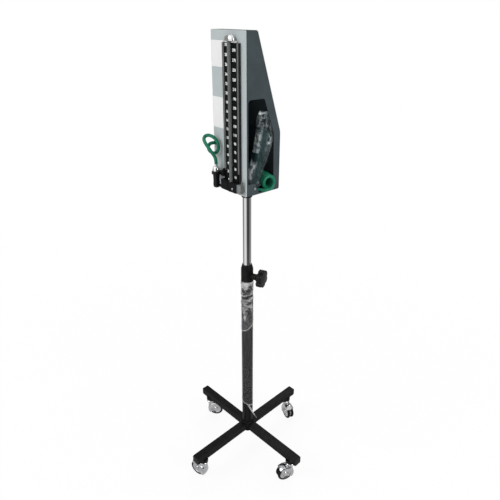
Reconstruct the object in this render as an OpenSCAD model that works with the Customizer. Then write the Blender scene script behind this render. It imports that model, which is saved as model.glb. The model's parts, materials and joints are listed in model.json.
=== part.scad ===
// Mercury sphygmomanometer on a four-leg caster stand.
// Origin on the floor under the pole, +Z up, scale face towards -Y, side window towards +X.
// Inside the head, a place is [across, back, up] from the head box's lower front left corner.

/* [Head box] */
// Width of the head box across its front
head_w = 118; // [112:1:142]
// Depth of the head box at its foot
head_d = 104; // [102:1:126]
// Depth of the head box at its top
head_top_d = 33; // [27:1:42]
// Height of the head box
head_h = 354; // [350:1:420]
// Height of the corner where the back starts to slope
knee_h = 138; // [125:1:166]
// Height of the head box's underside above the floor
head_z = 863; // [850:1:1000]
// Thickness of the housing's sheet
housing_wall = 2; // [1.5:0.1:2.5]
// Thickness of the front panel
panel_t = 2.5; // [2:0.1:3]
// Depth of the lip behind the front panel
panel_lip = 4; // [3:0.5:5]

/* [Side window] */
// Width of the frame in front of the window
window_front = 7; // [6.5:0.5:12]
// Width of the frame behind the window
window_back = 18; // [15:0.5:21]
// Height of the window's top edge above the head's underside
window_top = 217; // [200:1:240]
// Depth of the window's top edge
window_top_len = 47; // [40:1:52]
// Height of the corner plate that closes the window's lower front corner
corner_plate_h = 28; // [24:1:33]
// Length of the corner plate
corner_plate_len = 40; // [34:1:42]

/* [Scale] */
// Width of the scale channel
channel_w = 56; // [50:1:62]
// Place of the scale's centre line across the panel
scale_across = 74.5; // [72:0.5:80]
// Height of the zero mark above the head's underside
zero_h = 31.4; // [31.2:0.2:33]
// Height of the mercury column for one unit of pressure
unit_h = 0.98; // [0.85:0.01:1]
// Highest pressure on the scale
scale_max = 300; // [260:20:300]
// How far the channel stands out of the panel
channel_t = 6; // [5:0.5:7]
// Width of each bright rail
rail_w = 4.8; // [4:0.2:5.6]
// Outer diameter of the glass tube
glass_d = 8; // [7:0.1:9.6]
// Bore of the glass tube
glass_bore = 4; // [3.4:0.1:4.8]

/* [Reservoir] */
// Diameter of the reservoir's body
reservoir_d = 16.8; // [16:0.1:17.5]
// Diameter of the flange at the reservoir's mouth
flange_d = 22.5; // [20:0.1:24]
// Bore of the reservoir
reservoir_bore = 12.4; // [10:0.1:13]
// Height of the reservoir's mouth above the head's underside
reservoir_top = 45; // [42:0.5:52]
// Diameter of the chrome dome cap
dome_d = 18; // [16:0.1:19.5]
// Place of the reservoir across the panel
reservoir_across = 24; // [20:0.5:26]
// How far the reservoir's axis stands out of the panel
reservoir_out = 14; // [12.5:0.5:17]

/* [Pole] */
// Outer diameter of the lower column
column_d = 32; // [28:0.5:38]
// Wall of the lower column
column_wall = 1.5; // [1.2:0.1:1.8]
// Height of the column's top above the floor
column_top = 593; // [540:1:640]
// Outer diameter of the sliding tube
tube_d = 22; // [19:0.5:24]
// Wall of the sliding tube
tube_wall = 1.5; // [1.2:0.1:1.8]
// Height of the sliding tube's lower end above the floor
tube_foot = 232; // [200:1:280]
// Running clearance round a sliding or turning fit
run_gap = 0.05; // [0.02:0.01:0.08]

/* [Clamp] */
// Height of the clamp screw above the floor
clamp_z = 614; // [610:1:618]
// Direction that the clamp screw points, from the head's right
clamp_turn = 23; // [0:1:90]
// Diameter of the clamp screw
screw_d = 8; // [6:0.5:8]
// Diameter of the star knob over its lobes
knob_d = 52; // [44:1:62]
// Thickness of the star knob
knob_t = 16; // [13:1:19]
// Number of lobes on the star knob
knob_lobes = 6; // [5:1:8]

/* [Base] */
// Reach of each leg from the pole's axis
leg_reach = 210; // [180:1:250]
// Width and height of a leg's square tube
leg_w = 22; // [20:0.5:26]
// Wall of a leg's square tube
leg_wall = 1.5; // [1.2:0.1:2]
// Height of the legs' top above the floor
leg_top = 92; // [92:1:98]
// Diameter of the hub between the legs
hub_d = 40; // [38:0.5:46]
// Angle between the legs and the head
base_turn = 3.9; // [-45:0.1:45]

/* [Casters] */
// Distance of each caster's stem from the pole's axis
caster_reach = 181; // [175:1:190]
// Diameter of the wheels
wheel_d = 46; // [40:1:48]
// Width of each wheel
wheel_w = 7; // [6:0.5:9]
// Distance of the axle behind the stem
trail = 18; // [15:0.5:20]
// Diameter of the caster's stem
stem_d = 11; // [9:0.5:12]
// Diameter of the axle
axle_d = 6; // [5:0.5:7]

/* [Hoses and cuff] */
// Diameter of the pressure hose
hose_d = 8; // [7:0.1:8.4]
// Radius of the coiled hose's loops
loop_r = 15.5; // [14:0.1:15.6]
// Number of whole loops in the coil, besides the half loop at its ends
loops = 3; // [2:1:3]
// Diameter of the small tubes at the cuff
small_tube_d = 6; // [5:0.1:6.6]
// Length of the rolled cuff
cuff_len = 135; // [120:1:145]
// Diameter of the inflation bulb
bulb_d = 42; // [38:1:46]

/* [Hidden] */
SIDES = ["front", "right", "back", "left"];
CASTER_PARTS = ["housing", "tyres", "discs"];
$fn = 64;

// One leg and one caster for each side
SIDE_ANGLE = [270, 0, 90, 180];
// The direction that each caster's wheels trail in
CASTER_TURN = [195, 250, 345, 45];

BLACK = "#1b1b1d";
STEEL = "#b9bdc2";
CHROME = "#d6dade";
LIGHT_GREY = "#b4b9ba";
SLATE = "#3f464c";
GREEN = "#1f8560";
WHITE = "#eeeeec";
RUBBER = "#232324";
BRASS = "#b8954a";

// Clearance between parts that are fixed together
fit = 0.1;
// Clearance between curved faces that lie together
touch = 0.3;

// A place in the head, from its own corner to the model's frame
function in_head(p) = [p[0] - head_w / 2, p[1] - head_d / 2, p[2] + head_z];

// ---- Outlines ----

// A polygon whose corners are rounded, each by its own radius
function corner_arc(a, b, c, r, n = 5) =
    let (u = (a - b) / norm(a - b), v = (c - b) / norm(c - b))
    let (half = acos(u * v) / 2, reach = r / tan(half))
    let (m = b + (u + v) / norm(u + v) * r / sin(half))
    let (s = b + u * reach - m, e = b + v * reach - m)
    let (turn = atan2(s[0] * e[1] - s[1] * e[0], s * e))
    r <= 0 ? [b] : [for (i = [0 : n]) m + spin(s, turn * i / n)];
function spin(v, t) = [v[0] * cos(t) - v[1] * sin(t), v[0] * sin(t) + v[1] * cos(t)];
function rounded(pts, radii) =
    let (n = len(pts))
    [for (i = [0 : n - 1]) each corner_arc(pts[(i + n - 1) % n], pts[i], pts[(i + 1) % n], radii[i])];

module rounded_box(x0, x1, y0, y1, r) {
    polygon(rounded([[x0, y0], [x1, y0], [x1, y1], [x0, y1]], [r, r, r, r]));
}

// An outline drawn in [across, up], made solid from one distance out of the panel to another
module on_panel(out0, out1) {
    translate([-head_w / 2, -head_d / 2 - out0, head_z])
        rotate([90, 0, 0])
            linear_extrude(out1 - out0)
                children();
}

// An outline drawn in [back, up], made solid across the head
module across_head(a0, a1) {
    translate([a0 - head_w / 2, -head_d / 2, head_z])
        rotate([90, 0, 90])
            linear_extrude(a1 - a0)
                children();
}

// A round bar across the head, from a0 to a1
module bar_across(d, a0, a1, back, up) {
    translate(in_head([a0, back, up]))
        rotate([0, 90, 0])
            cylinder(d = d, h = a1 - a0);
}

// ---- Tubes swept along a route ----

function unit(v) = v / norm(v);
// A smooth curve through the points, k steps between each two
function curve_point(a, b, c, d, t) =
    0.5 * (2 * b + (c - a) * t + (2 * a - 5 * b + 4 * c - d) * t * t
        + (3 * b - a - 3 * c + d) * t * t * t);
function curve(p, k) =
    let (n = len(p))
    [for (i = [0 : n - 2]) for (j = [0 : k - 1])
        curve_point(p[max(i - 1, 0)], p[i], p[i + 1], p[min(i + 2, n - 1)], j / k), p[n - 1]];
function tangent(p, i) =
    let (n = len(p))
    unit(p[min(i + 1, n - 1)] - p[max(i - 1, 0)]);
function square_to(v, t) = unit(v - (v * t) * t);
// A normal at each point that turns as little as it can along the route
function normals(p, first) =
    [for (i = 0, v = square_to(first, tangent(p, 0));
        i < len(p);
        i = i + 1, v = i < len(p) ? square_to(v, tangent(p, i)) : v) v];

module swept_tube(p, d, sides, first = [0.2, 0.3, 1]) {
    v = normals(p, first);
    n = len(p);
    rings = [for (i = [0 : n - 1])
        let (u = cross(tangent(p, i), v[i]))
        for (s = [0 : sides - 1])
            p[i] + d / 2 * (cos(360 * s / sides) * v[i] + sin(360 * s / sides) * u)];
    walls = [for (i = [0 : n - 2]) for (s = [0 : sides - 1])
        let (a = i * sides + s, b = i * sides + (s + 1) % sides)
        each [[a, a + sides, b], [b, a + sides, b + sides]]];
    last = (n - 1) * sides;
    near_end = [for (s = [1 : sides - 2]) [0, s, s + 1]];
    far_end = [for (s = [1 : sides - 2]) [last, last + s + 1, last + s]];
    polyhedron(rings, concat(walls, near_end, far_end));
}

// ---- Base ----

leg_bottom = leg_top - leg_w;
hub_foot = leg_bottom - 6;
hub_floor = 4;
hub_top = leg_top + 6;
column_foot = hub_foot + hub_floor;
cap_t = 3;
leg_bore = leg_w - 2 * leg_wall;

module base_hub() {
    color(BLACK)
    difference() {
        rotate_extrude() polygon([
            [0, hub_foot], [hub_d / 2 - 2, hub_foot], [hub_d / 2, hub_foot + 2],
            [hub_d / 2, hub_top - 2], [hub_d / 2 - 2, hub_top], [0, hub_top]
        ]);
        translate([0, 0, column_foot]) cylinder(d = column_d + fit, h = 60);
        translate([0, 0, hub_foot - 1]) cylinder(d = 8.4, h = 20);
    }
}

// Each leg's tube, closed on to the hub and drilled from below for its caster's stem
module legs() {
    color(BLACK)
    for (a = SIDE_ANGLE) rotate(a + base_turn) difference() {
        translate([hub_d / 4, -leg_w / 2, leg_bottom])
            cube([leg_reach - cap_t - hub_d / 4, leg_w, leg_w]);
        translate([0, -leg_bore / 2, leg_bottom + leg_wall])
            cube([leg_reach + 1, leg_bore, leg_bore]);
        translate([0, 0, leg_bottom - 1]) cylinder(d = hub_d + fit, h = leg_w + 2);
        translate([caster_reach, 0, leg_bottom - 1]) cylinder(d = stem_d + 4, h = leg_wall + 2);
    }
}

module leg_end_caps() {
    plug = leg_bore - fit;
    color(BLACK)
    for (a = SIDE_ANGLE) rotate(a + base_turn) {
        translate([leg_reach - cap_t, 0, leg_bottom + leg_w / 2])
            rotate([90, 0, 90])
                linear_extrude(cap_t) rounded_box(-leg_w / 2, leg_w / 2, -leg_w / 2, leg_w / 2, 1.5);
        translate([leg_reach - cap_t - 4, -plug / 2, leg_bottom + (leg_w - plug) / 2])
            cube([4.2, plug, plug]);
    }
}

// The block inside each leg's end that the stem turns in, and its round foot under the leg
foot_h = 12;
foot_d = 28;
stem_in = 15;
module caster_sockets() {
    block = leg_bore - fit;
    len_in = 22;
    color(BLACK)
    for (a = SIDE_ANGLE) rotate(a + base_turn) translate([caster_reach, 0, leg_bottom]) difference() {
        union() {
            translate([-len_in / 2, -block / 2, leg_wall]) cube([len_in, block, block]);
            cylinder(d = stem_d + 3.8, h = leg_wall + 1);
            translate([0, 0, -foot_h]) rotate_extrude() polygon([
                [0, 0], [foot_d / 2 - 1.5, 0], [foot_d / 2, 1.5], [foot_d / 2, foot_h], [0, foot_h]
            ]);
        }
        translate([0, 0, -foot_h - 1]) cylinder(d = stem_d + 2 * run_gap, h = foot_h + stem_in + 2);
    }
}

module column() {
    color(BLACK)
    translate([0, 0, column_foot]) difference() {
        cylinder(d = column_d, h = column_top - column_foot);
        translate([0, 0, -1]) cylinder(d = column_bore, h = column_top);
    }
}
column_bore = column_d - 2 * column_wall;
plug_h = 20;

module column_plug() {
    color(STEEL)
    translate([0, 0, column_foot]) difference() {
        cylinder(d = column_bore - fit, h = plug_h);
        translate([0, 0, -1]) cylinder(d = 8, h = plug_h + 2);
    }
}

module column_bolt() {
    color(STEEL) {
        translate([0, 0, hub_foot - 5.5]) cylinder(d = 13, h = 5.5, $fn = 6);
        translate([0, 0, hub_foot - 1]) cylinder(d = 8, h = plug_h);
    }
}

// ---- Casters ----

wheel_r = wheel_d / 2;
web_t = 6;
wheel_gap = 0.5;
wheel_in = web_t / 2 + wheel_gap;
tyre_t = 6;
hood_r = wheel_r + 1.5;
hood_t = 1.4;
hood_crown = 2;
// Half the width inside the hood, and the radius that its sides come down to
hood_half = wheel_in + wheel_w + wheel_gap;
side_r = wheel_r - 8;
cup_d = 26;
cup_h = 8;
cup_top = leg_bottom - foot_h - touch;
neck_h = 14;

module caster_frame(i) {
    a = SIDE_ANGLE[i] + base_turn;
    translate([caster_reach * cos(a), caster_reach * sin(a), 0]) rotate(CASTER_TURN[i]) children();
}
module axle_frame() {
    translate([trail, 0, wheel_r]) rotate([90, 0, 0]) children();
}
// Either side of the web, along the axle
module axle_side(s) {
    axle_frame() mirror([0, 0, s < 0 ? 1 : 0]) children();
}

// The crowned top of the hood, in section across the axle
function hood_line(r, half, way) =
    [for (s = [-1 : 0.25 : 1]) [r + hood_crown * (1 - s * s), way * s * half]];
// The whole section, with its sides over the wheels' faces
function hood_section(out = hood_half + hood_t) = concat(
    [[side_r, -hood_half]], hood_line(hood_r, hood_half, 1), [[side_r, hood_half], [side_r, out]],
    [[hood_r - 1, out]], hood_line(hood_r + hood_t, out - 1.5, -1), [[hood_r - 1, -out], [side_r, -out]]
);

// Stem, swivel cup and neck, the web between the wheels, and the hood over them
module caster_housing() {
    cup_foot = cup_top - cup_h;
    color(CHROME)
    difference() {
        union() {
            translate([0, 0, cup_top - 1]) cylinder(d = stem_d, h = leg_bottom + stem_in + 1 - cup_top);
            rotate_extrude() polygon([
                [0, cup_foot - neck_h], [cup_d / 2 - 5, cup_foot - neck_h], [cup_d / 2 - 2.5, cup_foot],
                [cup_d / 2, cup_foot + 1.5], [cup_d / 2, cup_top - 2], [cup_d / 2 - 2, cup_top], [0, cup_top]
            ]);
            translate([0, web_t / 2, 0]) rotate([90, 0, 0]) linear_extrude(web_t) {
                intersection() {
                    translate([trail, wheel_r]) circle(r = hood_r + hood_crown + hood_t / 2);
                    polygon([
                        [-cup_d / 2 + 3, cup_foot + 1], [trail + 12, wheel_r + hood_r + 5],
                        [trail + 6, wheel_r - 2], [trail - 6, wheel_r - 2]
                    ]);
                }
                translate([trail, wheel_r]) circle(r = 7);
            }
            axle_frame() rotate(50) rotate_extrude(angle = 165) polygon(hood_section());
        }
        axle_frame() cylinder(d = axle_d + 2 * run_gap, h = 40, center = true);
        for (s = [-1, 1]) axle_side(s) translate([0, 0, web_t / 2 + 0.1])
            cylinder(r = hood_r - 0.2, h = wheel_w + 2 * wheel_gap - 0.2);
    }
}

module caster_tyres() {
    rim = wheel_r - tyre_t;
    color(RUBBER)
    for (s = [-1, 1]) axle_side(s)
        rotate_extrude() polygon(rounded(
            [[rim, wheel_in], [wheel_r, wheel_in], [wheel_r, wheel_in + wheel_w], [rim, wheel_in + wheel_w]],
            [0, 2, 3, 0]
        ));
}

// The dished disc of each wheel, and the axle that joins them
module caster_discs() {
    rim = wheel_r - tyre_t;
    face = wheel_in + wheel_w;
    color(CHROME)
    {
        for (s = [-1, 1]) axle_side(s) rotate_extrude() polygon([
            [0, wheel_in], [rim, wheel_in], [rim, face - 0.5], [rim - 2, face - 0.2],
            [rim - 5, face - 2], [8, face - 1.6], [6, face + 0.6], [4, face + 1.4], [0, face + 1.4]
        ]);
        axle_frame() cylinder(d = axle_d, h = 2 * wheel_in + 2, center = true);
    }
}

// ---- Clamp and pole ----

collar_d = column_d + 1;
collar_cone = 12;
collar_top = clamp_z + 34;
collar_neck_d = tube_d + 4;
boss_end = collar_d / 2 + 8;
nut_d = 12;
nut_start = collar_d / 2 - 2;
pad_t = 2.4;
pad_start = tube_d / 2 + touch;
screw_start = pad_start + pad_t + 0.05;
knob_hub = 9;
knob_start = boss_end + 2;

module clamp_frame() {
    rotate(clamp_turn) translate([0, 0, clamp_z]) rotate([0, 90, 0]) children();
}

// Collar on the column's top: a spigot inside it, a cone above and a boss for the screw
module clamp_collar() {
    color(BLACK)
    difference() {
        union() {
            rotate_extrude() polygon([
                [0, column_top - 40], [column_bore / 2 - fit / 2, column_top - 40],
                [column_bore / 2 - fit / 2, column_top], [collar_d / 2, column_top],
                [collar_d / 2, collar_top - collar_cone], [collar_neck_d / 2, collar_top],
                [0, collar_top]
            ]);
            clamp_frame() cylinder(d = nut_d + 5, h = boss_end);
        }
        translate([0, 0, column_top - 50]) cylinder(d = tube_d + 2 * run_gap, h = 200);
        clamp_frame() cylinder(d = screw_d + fit, h = 60);
        clamp_frame() translate([0, 0, nut_start]) cylinder(d = nut_d + fit, h = 60);
    }
}

module clamp_nut() {
    color(BRASS)
    clamp_frame() translate([0, 0, nut_start]) difference() {
        cylinder(d = nut_d, h = boss_end - nut_start);
        translate([0, 0, -1]) cylinder(d = screw_d + 2 * run_gap, h = 40);
    }
}

module clamp_pad() {
    color(BRASS)
    clamp_frame() translate([0, 0, pad_start]) cylinder(d = screw_d - fit, h = pad_t);
}

module clamp_screw() {
    color(STEEL)
    clamp_frame() translate([0, 0, screw_start])
        cylinder(d = screw_d, h = knob_start + knob_hub + 8 - screw_start);
}

// Star knob: lobes round a disc, domed at both faces, on a conical hub
module clamp_knob() {
    lobe_d = knob_d / 4;
    color(BLACK)
    clamp_frame() translate([0, 0, knob_start]) difference() {
        union() {
            rotate_extrude() polygon([
                [0, 0], [8.5, 0], [9.5, 1], [14, knob_hub], [14, knob_hub + 1], [0, knob_hub + 1]
            ]);
            intersection() {
                translate([0, 0, knob_hub]) linear_extrude(knob_t) {
                    circle(d = knob_d * 0.72);
                    for (i = [0 : knob_lobes - 1]) rotate(i * 360 / knob_lobes)
                        translate([knob_d / 2 - lobe_d / 2, 0]) circle(d = lobe_d);
                }
                translate([0, 0, knob_hub]) rotate_extrude() polygon(rounded(
                    [[0, 0], [knob_d / 2 + 0.1, 0], [knob_d / 2 + 0.1, knob_t - 1.5], [0, knob_t]],
                    [0, 4, 5, 0]
                ));
            }
        }
        translate([0, 0, -1]) cylinder(d = screw_d, h = knob_hub + 9);
    }
}

// Cup under the sliding tube that guides it in the column
module tube_bush() {
    color(WHITE)
    difference() {
        translate([0, 0, tube_foot - 4]) cylinder(d = column_bore - 2 * run_gap, h = 32);
        translate([0, 0, tube_foot]) cylinder(d = tube_d + 2 * run_gap, h = 40);
        translate([0, 0, tube_foot - 5]) cylinder(d = tube_d - 6, h = 10);
    }
}

cross_bolt_z = head_z - 14;
cross_bolt_d = 5;
module inner_tube() {
    color(CHROME)
    difference() {
        translate([0, 0, tube_foot + 0.1]) cylinder(d = tube_d, h = head_z - 0.2 - tube_foot);
        translate([0, 0, tube_foot - 1]) cylinder(d = tube_d - 2 * tube_wall, h = head_z);
        translate([0, 0, cross_bolt_z]) rotate([90, 0, 0])
            cylinder(d = cross_bolt_d + fit, h = tube_d + 2, center = true);
    }
}

// ---- Head: mount, housing and panel ----

socket_d = tube_d + 5;
socket_h = 25;
flange_t = 3;
FLANGE = [66, 56];
FLANGE_SCREWS = [[-24, -20], [24, -20], [24, 20], [-24, 20]];
floor_screw_d = 4;

module head_socket() {
    color(BLACK)
    difference() {
        union() {
            translate([0, 0, head_z - flange_t]) linear_extrude(flange_t)
                rounded_box(-FLANGE[0] / 2, FLANGE[0] / 2, -FLANGE[1] / 2, FLANGE[1] / 2, 6);
            translate([0, 0, head_z - socket_h]) cylinder(d = socket_d, h = socket_h);
        }
        translate([0, 0, head_z - socket_h - 1]) cylinder(d = tube_d + 2 * fit, h = socket_h + 2);
        translate([0, 0, cross_bolt_z]) rotate([90, 0, 0])
            cylinder(d = cross_bolt_d + fit, h = socket_d + 2, center = true);
        for (p = FLANGE_SCREWS) translate([p[0], p[1], head_z - flange_t - 1])
            cylinder(d = floor_screw_d + fit, h = flange_t + 2);
    }
}

module pan_screw(d, shank) {
    rotate_extrude() polygon([
        [0, -shank], [d / 2, -shank], [d / 2, 0], [d, 0], [d, d * 0.3], [d * 0.75, d * 0.55], [0, d * 0.6]
    ]);
}

CORNER_SCREW = [27, 15];
boss_d = glass_d + 4;
BLOCK_SCREW = [scale_across + boss_d / 2 + 2.5, 14.5];
block_out = 13;
module head_screws() {
    color(STEEL) {
        for (p = FLANGE_SCREWS) translate([p[0], p[1], head_z + housing_wall])
            pan_screw(floor_screw_d, 6);
        translate([0, 0, cross_bolt_z]) rotate([90, 0, 0]) {
            cylinder(d = cross_bolt_d, h = socket_d + 3, center = true);
            translate([0, 0, socket_d / 2]) cylinder(d = 9, h = 3, $fn = 6);
            translate([0, 0, -socket_d / 2 - 3]) cylinder(d = 9, h = 3, $fn = 6);
        }
        translate(in_head([head_w, CORNER_SCREW[0], CORNER_SCREW[1]])) rotate([0, 90, 0])
            pan_screw(3.2, 4);
        translate(in_head([BLOCK_SCREW[0], -block_out, BLOCK_SCREW[1]])) rotate([90, 0, 0])
            pan_screw(2.8, 8);
    }
}

// The sloping back, as the depth at a height, drawn in by a wall
slope = (head_d - head_top_d) / (head_h - knee_h);
function back_at(up, inset = 0) = head_d - (up - knee_h) * slope - inset * sqrt(1 + slope * slope);

module side_outline(inset, front) {
    top = head_h - inset;
    knee_up = knee_h - inset * (sqrt(1 + slope * slope) - 1) / slope;
    polygon(rounded(
        [[front, inset], [head_d - inset, inset], [head_d - inset, knee_up],
            [back_at(top, inset), top], [front, top]],
        [0, 4 - inset, 30 - inset, 6 - inset, 0]
    ));
}

// The window's outline in [back, up], with the closed corner at its lower front
module window_outline() {
    back = head_d - window_back;
    polygon(rounded(
        [[window_front, corner_plate_h], [corner_plate_len - 12, corner_plate_h],
            [corner_plate_len, housing_wall + 1], [back, housing_wall + 1], [back - 1.5, knee_h - 1],
            [window_front + window_top_len, window_top], [window_front, window_top]],
        [2, 7, 0, 3, 12, 5, 8]
    ));
}

module rear_housing() {
    color(SLATE)
    difference() {
        across_head(0, head_w) side_outline(0, panel_t);
        across_head(housing_wall, head_w - housing_wall)
            side_outline(housing_wall, panel_t - 1);
        across_head(head_w - housing_wall - 1, head_w + 1) window_outline();
        for (p = FLANGE_SCREWS) translate([p[0], p[1], head_z - 1])
            cylinder(d = floor_screw_d + fit, h = housing_wall + 2);
        bar_across(3.3, head_w - 5, head_w + 5, CORNER_SCREW[0], CORNER_SCREW[1]);
    }
}

GROMMET = [9, 109];
grommet_hole = 11;
grommet_d = 13.4;
module front_panel() {
    lip = housing_wall + 0.2;
    color(LIGHT_GREY)
    difference() {
        union() {
            on_panel(-panel_t, 0) rounded_box(0, head_w, 0, head_h, 2.5);
            on_panel(-panel_t - panel_lip, -panel_t) difference() {
                rounded_box(lip, head_w - lip, lip, head_h - lip, 1);
                rounded_box(lip + 1.8, head_w - lip - 1.8, lip + 1.8, head_h - lip - 1.8, 1);
            }
        }
        translate(in_head([GROMMET[0], panel_t + 1, GROMMET[1]])) rotate([90, 0, 0])
            cylinder(d = grommet_hole, h = panel_t + 2);
        translate(in_head([GROMMET[0], panel_t + panel_lip + 1, GROMMET[1]])) rotate([90, 0, 0])
            cylinder(d = grommet_d + 1, h = panel_lip + 1);
    }
}

plate_t = 0.6;
module blank_plates() {
    color(WHITE)
    on_panel(0, plate_t) {
        rounded_box(1.5, 44, 279, 333, 1.2);
        rounded_box(1.5, 43.5, 146, 215, 1.2);
    }
}

// ---- Scale ----

channel_left = scale_across - channel_w / 2;
channel_right = scale_across + channel_w / 2;
channel_foot = zero_h - 1.4;
channel_top = zero_h + scale_max * unit_h + 4.6;
channel_wall = 1.2;
channel_base = 2;
strip_t = channel_t - channel_base - 1;
strip_half = channel_w / 2 - channel_wall - rail_w;
rail_foot = channel_foot + 22;
glass_out = channel_t - 1 + 0.25 + glass_d / 2;
glass_foot = 18;
cap_foot = channel_top + 3.5;
glass_top = cap_foot + 2;

module scale_span(a0, a1, out0, out1, foot = channel_foot) {
    on_panel(out0, out1) translate([a0, foot]) square([a1 - a0, channel_top - foot]);
}

module scale_channel() {
    color(BLACK) {
        scale_span(channel_left, channel_right, 0, channel_base);
        scale_span(channel_left, channel_left + channel_wall, 0, channel_t);
        scale_span(channel_right - channel_wall, channel_right, 0, channel_t);
    }
}

module scale_rails() {
    color(CHROME)
    for (a = [channel_left + channel_wall, channel_right - channel_wall - rail_w])
        scale_span(a, a + rail_w, channel_base, channel_t, rail_foot);
}

// The printed strip, with a shallow groove down its middle
module scale_strip() {
    groove = 7;
    color(BLACK) {
        scale_span(scale_across - strip_half, scale_across + strip_half,
            channel_base, channel_base + strip_t - 1);
        for (a = [scale_across - strip_half, scale_across + groove / 2])
            scale_span(a, a + strip_half - groove / 2, channel_base, channel_base + strip_t);
    }
}

module up_tube_axis(up) {
    translate(in_head([scale_across, -glass_out, up])) children();
}

module glass_tube() {
    color("#dfe8ea", 0.5)
    up_tube_axis(glass_foot) difference() {
        cylinder(d = glass_d, h = glass_top - glass_foot);
        translate([0, 0, -1]) cylinder(d = glass_bore, h = glass_top);
    }
}

module in_reservoir(up) {
    translate(in_head([reservoir_across, -reservoir_out, up])) children();
}

pool_foot = 8.5;
link_up = 10.5;
link_out = 9.5;
link_d = 6;
link_bore = 3;
// The pool in the reservoir and the column in the glass, both at the zero mark, and the link between
module mercury() {
    d = link_bore - fit;
    color("#c9ccd0") {
        up_tube_axis(glass_foot) cylinder(d = glass_bore - fit, h = zero_h - glass_foot);
        up_tube_axis(link_up) cylinder(d = d, h = glass_foot - link_up + 1);
        bar_across(d, reservoir_across, scale_across, -link_out, link_up);
        in_reservoir(pool_foot) cylinder(d = reservoir_bore - fit, h = zero_h - pool_foot);
    }
}

// ---- Foot block, valve and reservoir ----

block_foot = 6;
block_left = channel_left - 6;
block_right = channel_right - 6;
stem_up = 14;
stem_out = 6;
valve_stem_d = 5;
gasket_t = 2;

// Block under the scale: seats the tube and joins the reservoir by a short pipe
module base_block() {
    color(BLACK)
    difference() {
        union() {
            on_panel(0, block_out)
                rounded_box(block_left, block_right, block_foot, channel_foot, 1.5);
            up_tube_axis(block_foot + 0.5) cylinder(d = boss_d, h = channel_foot - block_foot - 0.5);
            bar_across(link_d, reservoir_across, block_left + 1, -link_out, link_up);
        }
        up_tube_axis(glass_foot - gasket_t) cylinder(d = glass_d + fit, h = 40);
        up_tube_axis(link_up - link_bore / 2) cylinder(d = link_bore, h = 20);
        bar_across(link_bore, reservoir_across - 1, scale_across + link_bore / 2, -link_out, link_up);
        bar_across(valve_stem_d + 2 * run_gap, block_right - 8, block_right + 1, -stem_out, stem_up);
        translate(in_head([BLOCK_SCREW[0], -block_out - 1, BLOCK_SCREW[1]])) rotate([-90, 0, 0])
            cylinder(d = 2.9, h = 9.2);
        in_reservoir(-5) cylinder(d = reservoir_d + fit, h = 40);
    }
}

module block_cover() {
    color(BLACK)
    on_panel(block_out, block_out + 0.8)
        rounded_box(block_left + 2, scale_across - boss_d / 2, block_foot + 2.5, channel_foot - 2.5, 2.5);
}

// Rings under the glass tube, over it, and under the reservoir's cap
module gaskets() {
    color(RUBBER) {
        up_tube_axis(glass_foot - gasket_t) difference() {
            cylinder(d = glass_d, h = gasket_t);
            translate([0, 0, -1]) cylinder(d = link_bore, h = 5);
        }
        up_tube_axis(glass_top) difference() {
            cylinder(d = glass_d, h = 1);
            translate([0, 0, -1]) cylinder(d = glass_bore, h = 5);
        }
        in_reservoir(reservoir_top) difference() {
            cylinder(d = dome_d, h = 1);
            translate([0, 0, -1]) cylinder(d = reservoir_bore, h = 5);
        }
    }
}

cap_w = 26;
cap_h = 12;
cap_out = glass_out + glass_d / 2 + 2;
seat_half = 17.5;
// Bar across the channel's top that carries the cap
module top_seat() {
    color(WHITE)
    on_panel(0, channel_t - 1)
        rounded_box(scale_across - seat_half, scale_across + seat_half, channel_top, cap_foot, 0.5);
}

// Crowned cap over the tube's top, bored from below for the tube and its air
module top_cap() {
    half = cap_w / 2;
    top = cap_foot + cap_h;
    color(CHROME)
    difference() {
        intersection() {
            on_panel(-1, cap_out + 1) polygon(rounded(
                [[scale_across - half, cap_foot], [scale_across + half, cap_foot],
                    [scale_across + half, top], [scale_across - half, top]],
                [0, 0, cap_h - 1, cap_h - 1]
            ));
            across_head(scale_across - half - 1, scale_across + half + 1) polygon(rounded(
                [[-cap_out, cap_foot], [0, cap_foot], [0, top], [-cap_out, top]], [0, 0, 3, cap_h - 2]
            ));
            translate([0, 0, head_z + cap_foot - 1]) linear_extrude(cap_h + 2)
                translate([scale_across - head_w / 2, -head_d / 2])
                rounded_box(-half, half, -cap_out, 0.01, 5);
        }
        up_tube_axis(cap_foot - 1) cylinder(d = glass_d + fit, h = glass_top - cap_foot + 2);
        up_tube_axis(glass_top) cylinder(d = glass_bore, h = 4);
    }
}

valve_foot_up = 8;
valve_top = 28;
valve_out = 11;
valve_right = block_right + 13.5;
// Grey body of the shut-off valve, at the block's right end
module valve_seat() {
    color("#85898a")
    difference() {
        on_panel(0, valve_out) rounded_box(block_right, valve_right, valve_foot_up, valve_top, 2);
        bar_across(valve_stem_d + 1, block_right - 1, valve_right + 1, -stem_out, stem_up);
    }
}

lever_start = valve_right + touch;
lever_t = 3;
lever_len = 24;
// Shut-off lever: a stem in the block, a round hub and a flat arm that stands up when open
module valve_lever() {
    color(CHROME) {
        bar_across(valve_stem_d, block_right - 7, lever_start + 0.5, -stem_out, stem_up);
        translate(in_head([lever_start, -stem_out, stem_up])) rotate([90, 0, 90])
            linear_extrude(lever_t) {
                circle(d = 11);
                rounded_box(-2.5, 2.5, 0, lever_len, 2.2);
            }
    }
}

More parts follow.
